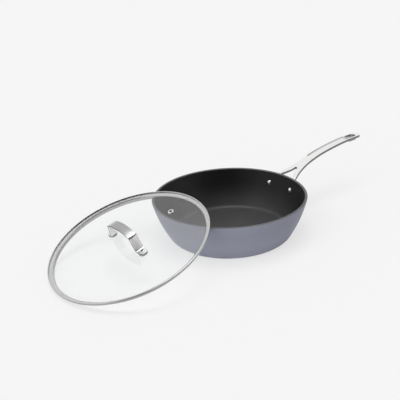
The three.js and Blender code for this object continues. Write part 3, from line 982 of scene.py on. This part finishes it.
def spine_point(pan, reach):
    """Place of the handle's middle line at a distance from the pan's axis, on a curve through its points."""
    points = [np.array((pan.rim_radius + out, pan.height + up)) for out, up in HANDLE_SPINE]
    first, second = points[:2]
    if reach < first[0]:
        slope = (second[1] - first[1]) / (second[0] - first[0])
        return Vector((reach, 0, first[1] + (reach - first[0]) * slope))
    last = len(points) - 1
    stop = next((i for i in range(1, last) if reach <= points[i][0]), last)
    start, end = points[stop - 1], points[stop]
    leave = (end - points[max(stop - 2, 0)]) / 2
    arrive = (points[min(stop + 1, last)] - start) / 2
    return Vector((reach, 0, bend_at(reach, start, start + leave / 3, end, end - arrive / 3)))


def slot_ends(pan):
    """Centres of the hanging slot's inner and outer round end, as distances, and their radius."""
    half = pan.slot_width / 2
    return pan.rim_radius + pan.slot_start + half, pan.rim_radius + pan.slot_end - half, half


def arm_edges(pan, reach):
    """Inner and outer edge of one half of the handle at a distance from the pan's axis."""
    start = pan.rim_radius + HANDLE_SPINE[0][0] - pan.pad_thickness
    grip = pan.rim_radius + pan.grip_start
    tip = pan.rim_radius + HANDLE_SPINE[-1][0] - pan.tip_round
    half = pan.grip_width / 2
    outer = half
    if reach < grip:
        outer = bend_at(
            reach,
            (start, pan.fork_width / 2),
            (start + pan.arm_ease, pan.fork_width / 2),
            (grip, half),
            (grip - pan.grip_ease, half),
        )
    elif reach > tip:
        outer = half * math.sqrt(1 - ((reach - tip) / pan.tip_round) ** 2)
    crotch = pan.rim_radius + pan.crotch_reach - pan.crotch_radius
    inner = 0.0
    if reach < crotch:
        inner = bend_at(
            reach,
            (start, pan.fork_gap / 2),
            (start + pan.gap_ease, pan.fork_gap / 2),
            (crotch, pan.crotch_radius),
            (crotch - pan.gap_ease, pan.crotch_flare / 2),
        )
    elif reach < crotch + pan.crotch_radius:
        inner = math.sqrt(max(pan.crotch_radius**2 - (reach - crotch) ** 2, 0))
    slot_in, slot_out, slot = slot_ends(pan)
    beyond = max(slot_in - reach, reach - slot_out, 0)
    if beyond < slot:
        inner = math.sqrt(slot**2 - beyond**2)
    return inner, outer


def handle_stations(pan):
    """Distances from the pan's axis at which the handle's edges are set, from the tip inwards."""
    tip_centre = pan.rim_radius + HANDLE_SPINE[-1][0] - pan.tip_round
    stations = [tip_centre + pan.tip_round * math.cos(a) for a in TIP_ANGLES]
    slot_in, slot_out, slot = slot_ends(pan)
    turns = [QUARTER * i / ARC_STEPS for i in range(ARC_STEPS + 1)]
    stations += [slot_out + slot * math.cos(a) for a in turns]
    stations += [slot_out - (slot_out - slot_in) * i / SLOT_STEPS for i in range(1, SLOT_STEPS)]
    stations += [slot_in - slot * math.sin(a) for a in turns]
    crotch = pan.rim_radius + pan.crotch_reach - pan.crotch_radius
    neck, grip = stations[-1], crotch + pan.crotch_radius
    stations += [neck + (grip - neck) * i / GRIP_STEPS for i in range(1, GRIP_STEPS)]
    stations += [crotch + pan.crotch_radius * math.cos(a) for a in turns]
    wall = pan.rim_radius + HANDLE_SPINE[0][0] - pan.pad_thickness * ARM_ROOT
    stations += [crotch + (wall - crotch) * i / ARM_STEPS for i in range(1, ARM_STEPS + 1)]
    return stations


def in_slot(pan, place):
    """Whether a place on the handle is on the wall of its hanging slot."""
    reach = place.x - pan.rim_radius
    ease = WELD * 100
    along = pan.slot_start - ease < reach < pan.slot_end + ease
    return along and abs(place.y) < pan.slot_width / 2 + ease


def round_edges(piece, width, chosen):
    """Rounds the sharp edges of a piece that lie in chosen places."""

    def sharp(edge):
        middle = (edge.verts[0].co + edge.verts[1].co) / 2
        return edge.calc_face_angle(0.0) > SHARP_ANGLE and chosen(middle)

    open_chosen(piece, "EDGE", sharp)
    bpy.ops.mesh.bevel(offset=width, segments=3, affect="EDGES", loop_slide=False)
    bpy.ops.object.mode_set(mode="OBJECT")


def plain_tip(piece, pan):
    """Makes the top and the underside of the handle's tip one face each, so that its edge rounds evenly."""
    first = pan.rim_radius + HANDLE_SPINE[-1][0] - pan.tip_round

    def at_tip(face):
        return abs(face.normal.z) > LEVEL and face.calc_center_median().x > first

    open_chosen(piece, "FACE", at_tip)
    bpy.ops.mesh.dissolve_faces()
    bpy.ops.object.mode_set(mode="OBJECT")


def dish_grip(piece, pan):
    """Sinks the top of the grip a little inside a plain border."""
    first = pan.rim_radius + pan.dish_start
    last = pan.rim_radius + pan.slot_start - 2 * pan.slot_round

    def on_grip(face):
        on_top = face.normal.z > LEVEL and abs(face.normal.y) < STRAIGHT
        return on_top and first < face.calc_center_median().x < last

    open_chosen(piece, "FACE", on_grip)
    bpy.ops.mesh.inset(thickness=pan.dish_border, depth=0.0)
    bpy.ops.mesh.inset(thickness=pan.dish_slope, depth=-pan.dish_depth)
    bpy.ops.object.mode_set(mode="OBJECT")


def slot_lip(pan):
    """The turned-down edge round the hanging slot, which reaches up into the handle's plate."""
    slot_in, slot_out, slot = slot_ends(pan)
    radius = slot + pan.lip_inset
    outline = arc((slot_out, 0), radius, -QUARTER, QUARTER, 2 * ARC_STEPS)
    outline += arc((slot_in, 0), radius, QUARTER, 3 * QUARTER, 2 * ARC_STEPS)
    outline.append(outline[0])
    height = pan.handle_thickness / 2 + pan.lip_depth
    stations = [(spine_point(pan, x) + Vector((0, y, -height / 2)), height) for x, y in outline]
    lip = ribbon("slot_lip", stations, across=2)
    merge_piece(lip)
    thicken(lip, pan.lip_sheet, offset=1.0)
    soften(lip, pan.slot_round, segments=2)
    return lip


def wall_pad(pan, name, shell):
    """A pad that lies on the pan's wall round a rivet."""
    half, reach = pan.pad_width / 2, (pan.pad_height - pan.pad_width) / 2
    stations = []
    for a in (*(-a for a in reversed(END_ANGLES[1:])), *END_ANGLES):
        rise = half * math.sin(a) + math.copysign(reach, a)
        stations.append((Vector((0, rise, 0)), 2 * half * math.cos(a)))
    pad = ribbon("wall_pad", stations, across=0)
    only(pad)
    bpy.ops.object.mode_set(mode="EDIT")
    bpy.ops.mesh.select_all(action="SELECT")
    bpy.ops.mesh.subdivide(number_cuts=PAD_CUTS)
    bpy.ops.object.mode_set(mode="OBJECT")
    place, total = rivet_place(name)
    settle(pad, place @ Matrix.Translation((0, 0, total)))
    wrapped = {"wrap_method": "NEAREST_SURFACEPOINT", "wrap_mode": "OUTSIDE_SURFACE"}
    modify(pad, "SHRINKWRAP", target=shell, offset=pan.pad_gap, **wrapped)
    merge_piece(pad)
    outside = pad.data.polygons[0].normal.x > 0
    thicken(pad, pan.pad_thickness, offset=1.0 if outside else -1.0, even=False)
    soften(pad, pan.handle_round)
    return pad


def dull_and_shaded_share(tree, pan):
    """Share of the dark tint on the handle's sides, partly dull cut metal and partly painted shade: less on
    its pads and in its slot, which are polished too.
    """
    place = separated(tree, own_place(tree))
    on_pads, in_slot_wall = 0.6, 0.84
    pads = spread(tree, place["X"], pan.rim_radius, pan.rim_radius + pan.arm_ease, on_pads, 1.0)
    middle = pan.rim_radius + (pan.slot_start + pan.slot_end) / 2
    along = math_node(tree, "ABSOLUTE", math_node(tree, "SUBTRACT", place["X"], middle))
    across = math_node(tree, "ABSOLUTE", place["Y"])
    near = [half + pan.lip_sheet for half in ((pan.slot_end - pan.slot_start) / 2, pan.slot_width / 2)]
    beyond = spread(tree, along, near[0], near[0] + pan.lip_sheet)
    beside = spread(tree, across, near[1], near[1] + pan.lip_sheet)
    outside = math_node(tree, "MAXIMUM", beyond, beside)
    return math_node(tree, "MULTIPLY", pads, spread(tree, outside, 0.0, 1.0, in_slot_wall, 1.0))


class FRYING_PAN_OT_handle(Operator):
    """Model the forked steel handle on its two pads"""

    bl_idname = "frying_pan.handle"
    bl_label = "Forked handle"

    def execute(self, context):
        pan, finishes = context.scene.pan_sizes, context.scene.pan_finishes
        shell = bpy.data.objects["painted_shell"]
        stations = []
        for reach in handle_stations(pan):
            inner, outer = arm_edges(pan, reach)
            centre = spine_point(pan, reach) + Vector((0, (inner + outer) / 2, 0))
            stations.append((centre, outer - inner))
        piece = ribbon("forked_handle", stations, across=1)
        modify(piece, "MIRROR", use_axis=(False, True, False), merge_threshold=WELD * 10)
        merge_piece(piece)
        thicken(piece, pan.handle_thickness)
        plain_tip(piece, pan)
        round_edges(piece, pan.slot_round, lambda place: in_slot(pan, place))
        round_edges(piece, pan.handle_round, lambda place: not in_slot(pan, place))
        dish_grip(piece, pan)
        combine(piece, slot_lip(pan), "UNION")
        for name in ("pan_rivet_near", "pan_rivet_far"):
            combine(piece, wall_pad(pan, name, shell), "UNION")
        merge_piece(piece)
        steel, dull, grain = finishes.bright_steel, finishes.dull_steel, lines_along(Matrix.Identity(4))
        look = {"smooth": 0.16, "rough": 0.26, "relief": 0.00002, "edge": 0.0003}
        material, tree, shader = steel_finish("Polished handle steel", steel, dull, grain, **look)
        # The handle's sides get dull steel: partly dull cut metal, partly painted shade where they mirror
        # the unlit side
        where = dull_and_shaded_share(tree, pan)
        dull_and_shaded_sides(tree, shader, dull, Vector((0, 0, 1)), start=0.88, end=0.53, where=where)
        dress(piece, "pan", material, ["pan_handle"])
        return {"FINISHED"}


class FRYING_PAN_OT_handle_rivets(Operator):
    """Turn the two rivets that hold the pan's handle"""

    bl_idname = "frying_pan.handle_rivets"
    bl_label = "Handle rivets"

    def execute(self, context):
        pan, finishes = context.scene.pan_sizes, context.scene.pan_finishes
        steel, dull = finishes.rivet_steel, finishes.dull_steel
        look = {"smooth": 0.2, "rough": 0.32, "relief": 0.00001, "edge": 0.0004}
        for side in ("near", "far"):
            name = f"pan_rivet_{side}"
            place, total = rivet_place(name)
            head = local_box(name, place)[1].x
            outline = rivet_line(pan.rivet_shank, head, pan.rivet_head, total)
            piece = turned(f"handle_rivet_{side}", outline, SMALL_STEPS)
            settle(piece, place)
            title = f"Handle rivet steel {side}"
            material = steel_finish(title, steel, dull, rings_about(place), **look)[0]
            dress(piece, "pan", material, [name])
        return {"FINISHED"}


class FRYING_PAN_OT_glass(Operator):
    """Turn the glass of the lid and drill its holes"""

    bl_idname = "frying_pan.glass"
    bl_label = "Lid glass"

    def execute(self, context):
        lid, finishes = context.scene.lid_sizes, context.scene.pan_finishes
        place = lid_place(lid)
        radius, rounding = local_box("lid_glass", place)[1].y, lid.glass_round
        seat = lid.sheet + lid.glass_gap

        def under(reach):
            return seat + lid.glass_rise * (1 - (reach / radius) ** 2)

        rim = radius - rounding
        reaches = [rim * i / GLASS_RINGS for i in range(GLASS_RINGS + 1)]
        outline = [
            *[(reach, under(reach)) for reach in reaches],
            *arc((rim, under(rim) + rounding), rounding, -QUARTER, 0)[1:],
            *arc((rim, under(rim) + lid.glass - rounding), rounding, 0, QUARTER),
            *[(reach, under(reach) + lid.glass) for reach in reversed(reaches[:-1])],
        ]
        piece = turned("lid_pane", outline, PAN_STEPS)
        holes = [("vent_eyelet", lid.vent_barrel + lid.vent_gap)]
        holes += [(f"lid_rivet_{side}", lid.rivet_shank + lid.hole_gap) for side in ("near", "far")]
        for name, hole in holes:
            low, high = local_box(name, place)
            drill = {"vertices": SMALL_STEPS, "radius": hole, "depth": DRILL_LENGTH}
            bpy.ops.object.select_all(action="DESELECT")
            bpy.ops.mesh.primitive_cylinder_add(location=(low + high) / 2, **drill)
            combine(piece, bpy.context.object, "DIFFERENCE")
        settle(piece, place)
        dress(piece, "lid", glass_finish(finishes), ["lid_glass"])
        return {"FINISHED"}


class FRYING_PAN_OT_band(Operator):
    """Turn the rolled steel band of the lid"""

    bl_idname = "frying_pan.band"
    bl_label = "Lid band"

    def execute(self, context):
        lid, finishes = context.scene.lid_sizes, context.scene.pan_finishes
        place = lid_place(lid)
        radius = local_box("lid_rim", place)[1].y
        sheet, rounding, height = lid.sheet, lid.band_round, lid.band_height
        skirt, lip, corner = radius - lid.skirt_inset, radius - lid.lip, radius - rounding
        inner = rounding - sheet
        edge = sheet / 2
        bend = (skirt + lid.skirt_bend, -lid.skirt_bend)
        outline = [
            (skirt, -lid.skirt_depth + edge),
            *arc(bend, lid.skirt_bend, math.pi, QUARTER),
            *arc((corner, rounding), rounding, -QUARTER, 0),
            *arc((corner, height - rounding), rounding, 0, QUARTER),
            *arc((lip + edge, height - edge), edge, QUARTER, 3 * QUARTER),
            *arc((corner, height - rounding), inner, QUARTER, 0),
            *arc((corner, rounding), inner, 0, -QUARTER),
            *arc(bend, lid.skirt_bend + sheet, QUARTER, math.pi),
            *arc((skirt - edge, -lid.skirt_depth + edge), edge, math.pi, ROUND),
        ]
        piece = turned("lid_band", outline, PAN_STEPS)
        settle(piece, place)
        steel, dull, grain = finishes.band_steel, finishes.dull_steel, rings_about(place)
        look = {"smooth": 0.12, "rough": 0.2, "relief": 0.00001, "edge": 0.0002}
        material, tree, shader = steel_finish("Rolled band steel", steel, dull, grain, **look)
        # Painted reflection: the band's outer wall and skirt get the darker colour, not a different metal
        upwards = place.to_3x3() @ Vector((0, 0, 1))
        dull_and_shaded_sides(tree, shader, finishes.band_shaded_side, upwards, start=0.6, end=0.25)
        dress(piece, "lid", material, ["lid_rim"])
        return {"FINISHED"}


class FRYING_PAN_OT_vent(Operator):
    """Turn the eyelet that lets steam through the glass"""

    bl_idname = "frying_pan.vent"
    bl_label = "Steam vent"

    def execute(self, context):
        lid, finishes = context.scene.lid_sizes, context.scene.pan_finishes
        place = lid_place(lid)
        low, high = local_box("vent_eyelet", place)
        centre = on_lid(place, low, high)
        flange = (high.x - low.x) / 2
        half = lid.vent_flange / 2
        bore, barrel = lid.vent_bore, lid.vent_barrel
        edge = flange - half
        outline = [
            (bore, low.z + half),
            *arc((bore + half, low.z + half), half, math.pi, 3 * QUARTER, ARC_STEPS // 2),
            *arc((edge, low.z + half), half, -QUARTER, QUARTER),
            (barrel, low.z + lid.vent_flange),
            (barrel, high.z - lid.vent_flange),
            *arc((edge, high.z - half), half, -QUARTER, QUARTER),
            *arc((bore + half, high.z - half), half, QUARTER, math.pi, ARC_STEPS // 2),
            (bore, low.z + half),
        ]
        piece = turned("steam_vent", outline, SMALL_STEPS)
        settle(piece, centre)
        steel, dull, grain = finishes.rivet_steel, finishes.dull_steel, rings_about(centre)
        look = {"smooth": 0.14, "rough": 0.24, "relief": 0.00001, "edge": 0.0003}
        material, tree, shader = steel_finish("Vent steel", steel, dull, grain, **look)
        # Painted shade: the eyelet's bore is painted dark
        shaded_reach = bore + lid.vent_flange * 1.4
        shade_bore(tree, shader, centre, shaded_reach, dull)
        dress(piece, "lid", material, ["vent_eyelet"])
        return {"FINISHED"}


def strap_stations(lid, low, high):
    """Middle line of the strap from one foot to the other, with its width."""
    width = high.x - low.x
    toe = high.y
    foot = low.z + lid.strap / 2
    top = high.z - lid.strap / 2
    bend = Vector((lid.bend_spacing / 2, top - lid.strap_arch))
    heel = Vector((bend.x + lid.leg_spread, foot))
    leg = (bend - heel).normalized()
    arch_end = bend.x - lid.upper_bend
    line = []
    for i in range(STRAP_STEPS + 1):
        reach = arch_end * i / STRAP_STEPS
        line.append(Vector((reach, top - lid.strap_arch * (reach / bend.x) ** 2)))
    line += rounded_corner(line[-1], bend, bend - leg * lid.upper_bend)
    toe_side = heel + Vector((lid.lower_bend, 0))
    line += rounded_corner(heel + leg * lid.lower_bend, heel, toe_side, with_start=True)
    half = width / 2
    round_start = toe - half
    line += [Vector((round_start + half * math.sin(a), foot)) for a in END_ANGLES]
    stations = []
    for point in line:
        beyond = max(point.x - round_start, 0)
        stations.append((point, 2 * math.sqrt(half * half - beyond * beyond)))
    mirrored = [(Vector((-point.x, point.y)), span) for point, span in stations[1:]]
    both = [*reversed(mirrored), *stations]
    return [(Vector((0, point.x, point.y)), span) for point, span in both]


def rounded_corner(start, corner, end, with_start=False):
    """Points of a bend from one point to another that rounds off a corner."""
    points = []
    for i in range(0 if with_start else 1, ARC_STEPS + 1):
        share = i / ARC_STEPS
        points.append(start.lerp(corner, share).lerp(corner.lerp(end, share), share))
    return points


class FRYING_PAN_OT_strap(Operator):
    """Bend the steel strap that the lid is lifted by"""

    bl_idname = "frying_pan.strap"
    bl_label = "Lid strap"

    def execute(self, context):
        lid, finishes = context.scene.lid_sizes, context.scene.pan_finishes
        place = lid_place(lid)
        low, high = local_box("lid_handle", place)
        piece = ribbon("lid_strap", strap_stations(lid, low, high), across=0)
        merge_piece(piece)
        thicken(piece, lid.strap)
        soften(piece, lid.strap_round)
        settle(piece, place)
        lengthways = place @ Matrix.Rotation(QUARTER, 4, "Z")
        squeeze = 0.1
        steel, dull, grain = finishes.strap_steel, finishes.dull_steel, lines_along(lengthways, squeeze)
        look = {"smooth": 0.22, "rough": 0.34, "relief": 0.00003, "edge": 0.0004}
        material, tree, shader = steel_finish("Brushed strap steel", steel, dull, grain, **look)
        along = local_vector(tree, lengthways, squeeze)
        marks = use(tree, belt_marks, Vector=along, Fineness=420.0)["Mask"]
        dark_mark, top_shade_tint, top_shade_share = Vector(steel) * 0.78, Vector(steel) * 0.3, 0.74
        overlay(tree, shader, marks, dark_mark, rougher=0.05)
        # Painted reflection: the top of the strap is painted darker towards its crest, where it mirrors the
        # unlit side
        height = separated(tree, local_vector(tree, lengthways))["Z"]
        top_shade_mask = spread(tree, height, high.z - lid.strap_arch, high.z - lid.strap_arch / 3)
        top_shade_mask = math_node(tree, "MULTIPLY", top_shade_mask, top_shade_share)
        overlay(tree, shader, top_shade_mask, top_shade_tint, rougher=0.08)
        # The strap's long edges get dull steel: partly dull cut metal, partly painted shade
        across = place.to_3x3() @ Vector((1, 0, 0))
        dull_and_shaded_sides(tree, shader, dull, across, start=0.5, end=0.85)
        dress(piece, "lid", material, ["lid_handle"])
        return {"FINISHED"}


class FRYING_PAN_OT_fixings(Operator):
    """Turn the rivets, seals and washers that hold the strap to the glass"""

    bl_idname = "frying_pan.fixings"
    bl_label = "Strap fixings"

    def execute(self, context):
        lid, finishes = context.scene.lid_sizes, context.scene.pan_finishes
        place = lid_place(lid)
        steel, dull = finishes.rivet_steel, finishes.dull_steel
        soft = silicone_finish(finishes)
        rings = (
            ("upper_seal", "upper_gasket", "silicone"),
            ("lower_seal", "lower_gasket", "silicone"),
            ("backing_washer", "steel_washer", "rivet_steel"),
        )
        look = {"smooth": 0.18, "rough": 0.3, "relief": 0.00001, "edge": 0.0004}
        for side in ("near", "far"):
            rivet = f"lid_rivet_{side}"
            low, high = local_box(rivet, place)
            centre = on_lid(place, low, high, low.z)
            outline = rivet_line(lid.rivet_shank, (high.x - low.x) / 2, lid.rivet_head, high.z - low.z)
            outline = dimpled(outline, lid.dimple, lid.dimple_depth)
            piece = turned(f"strap_rivet_{side}", outline, SMALL_STEPS)
            settle(piece, centre)
            title = f"Strap rivet steel {side}"
            metal, tree, shader = steel_finish(title, steel, dull, rings_about(centre), **look)
            # Painted shade: the dimple in the rivet's head is painted dark
            shade_bore(tree, shader, centre, lid.dimple, dull)
            dress(piece, "lid", metal, [rivet])
            for title, ring, slot in rings:
                low, high = local_box(f"{ring}_{side}", place)
                radius = (high.x - low.x) / 2
                outline = washer_line(lid.stack_bore, radius, low.z, high.z, lid.washer_round)
                piece = turned(f"{title}_{side}", outline, SMALL_STEPS)
                settle(piece, on_lid(place, low, high))
                material = soft if slot == "silicone" else metal
                dress(piece, "lid", material, [f"{ring}_{side}"])
        return {"FINISHED"}


def seen_rays(tree):
    """One for a ray that shows what it meets, straight, mirrored or through glass, else nothing."""
    path = node(tree, "ShaderNodeLightPath").outputs
    seen = math_node(tree, "MAXIMUM", path["Is Camera Ray"], path["Is Glossy Ray"])
    return math_node(tree, "MAXIMUM", seen, path["Is Transmission Ray"])


def floor_finish(stage, finishes):
    """Pale floor that takes light and shade, and shows a share of plain white where it is seen."""
    material, tree, shader = new_material("Pale floor", Roughness=1.0, Specular_IOR_Level=0.0)
    shader.inputs["Base Color"].default_value = (*finishes.floor, 1.0)
    white = node(tree, "ShaderNodeEmission")
    white.inputs["Strength"].default_value = stage.white
    glow = math_node(tree, "MULTIPLY", seen_rays(tree), stage.floor_glow)
    mix_shaders(tree, glow, shader.outputs[0], white.outputs[0])
    return material


def studio_world(stage):
    """Even light from all round. What is seen is a white studio, with one unlit side in mirrors."""
    world = bpy.data.worlds.new("Studio")
    world.use_nodes = True
    tree = world.node_tree
    tree.nodes.clear()
    light = node(tree, "ShaderNodeBackground")
    light.inputs["Color"].default_value = (1.0, 1.0, 1.0, 1.0)
    output = node(tree, "ShaderNodeOutputWorld")
    turn = Matrix.Rotation(stage.dark_bearing, 3, "Z") @ Matrix.Rotation(-stage.dark_height, 3, "Y")
    unlit = turn @ Vector((1, 0, 0))
    way = node(tree, "ShaderNodeTexCoord").outputs["Generated"]
    facing = vector_node(tree, "DOT_PRODUCT", way, unlit)["Value"]
    mirrored = node(tree, "ShaderNodeLightPath").outputs["Is Glossy Ray"]
    shown = math_node(tree, "MULTIPLY", facing, mirrored)
    fade_start, fade_end = 0.6, 0.8
    room = spread(tree, shown, fade_start, fade_end, stage.backdrop, stage.dark_side)
    feed(tree, light.inputs["Strength"], spread(tree, seen_rays(tree), 0.0, 1.0, stage.sky, room))
    feed(tree, output.inputs["Surface"], light.outputs[0])
    return world


class FRYING_PAN_OT_stage(Operator):
    """Set the floor, the light and the camera"""

    bl_idname = "frying_pan.stage"
    bl_label = "Stage"

    def execute(self, context):
        scene = context.scene
        stage, finishes = scene.pan_stage, scene.pan_finishes
        bpy.ops.object.select_all(action="DESELECT")
        bpy.ops.mesh.primitive_plane_add(size=stage.floor_size, location=(0, 0, -stage.floor_drop))
        floor = context.object
        floor.name = "floor"
        floor.data.materials.append(floor_finish(stage, finishes))

        scene.world = studio_world(stage)
        lamps = (
            ("key", stage.key, stage.key_width, stage.key_tilt, stage.key_bearing, False),
            ("softbox", stage.top, stage.top_width, 0.0, 0.0, True),
        )
        for name, energy, width, tilt, bearing, mirrored in lamps:
            place = {"location": (0, 0, LAMP_HEIGHT), "rotation": (0, tilt, bearing)}
            bpy.ops.object.light_add(type="SUN", **place)
            lamp = context.object
            lamp.name = name
            lamp.data.energy = energy
            lamp.data.angle = width
            lamp.visible_glossy = mirrored
            lamp.visible_transmission = False

        eye, sight = Vector(stage.eye), Vector(stage.sight).normalized()
        right = sight.cross(Vector((0, 0, 1))).normalized()
        up = right.cross(sight)
        turn = Matrix.Rotation(stage.roll, 3, -sight)
        right, up = turn @ right, turn @ up
        bpy.ops.object.camera_add(location=eye)
        camera = context.object
        camera.data.lens = stage.lens
        camera.rotation_euler = Matrix((right, up, -sight)).transposed().to_euler()
        scene.camera = camera
        scene.view_settings.view_transform = "Standard"
        return {"FINISHED"}


OPERATORS = (
    FRYING_PAN_OT_stage,
    FRYING_PAN_OT_shell,
    FRYING_PAN_OT_lining,
    FRYING_PAN_OT_base_disc,
    FRYING_PAN_OT_handle,
    FRYING_PAN_OT_handle_rivets,
    FRYING_PAN_OT_glass,
    FRYING_PAN_OT_band,
    FRYING_PAN_OT_vent,
    FRYING_PAN_OT_strap,
    FRYING_PAN_OT_fixings,
)


class FRYING_PAN_PT_pieces(Panel):
    """Lists what makes the pan, its lid and the stage"""

    bl_idname = "FRYING_PAN_PT_pieces"
    bl_label = "Frying pan"
    bl_space_type = "VIEW_3D"
    bl_region_type = "UI"
    bl_category = "Frying pan"

    def draw(self, context):
        for operator in OPERATORS:
            self.layout.operator(operator.bl_idname)


CLASSES = (PanSizes, LidSizes, Finishes, StageSizes, *OPERATORS, FRYING_PAN_PT_pieces)
SETTINGS = (
    ("pan_sizes", PanSizes),
    ("lid_sizes", LidSizes),
    ("pan_finishes", Finishes),
    ("pan_stage", StageSizes),
)


def register():
    """Makes the settings, operators and panel known."""
    for kind in CLASSES:
        bpy.utils.register_class(kind)
    for name, kind in SETTINGS:
        setattr(bpy.types.Scene, name, PointerProperty(type=kind))


def unregister():
    """Takes the settings, operators and panel away again."""
    for name, _ in SETTINGS:
        delattr(bpy.types.Scene, name)
    for kind in reversed(CLASSES):
        bpy.utils.unregister_class(kind)


def main():
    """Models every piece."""
    register()
    for operator in OPERATORS:
        group, name = operator.bl_idname.split(".")
        getattr(getattr(bpy.ops, group), name)()


if __name__ == "__main__":
    main()
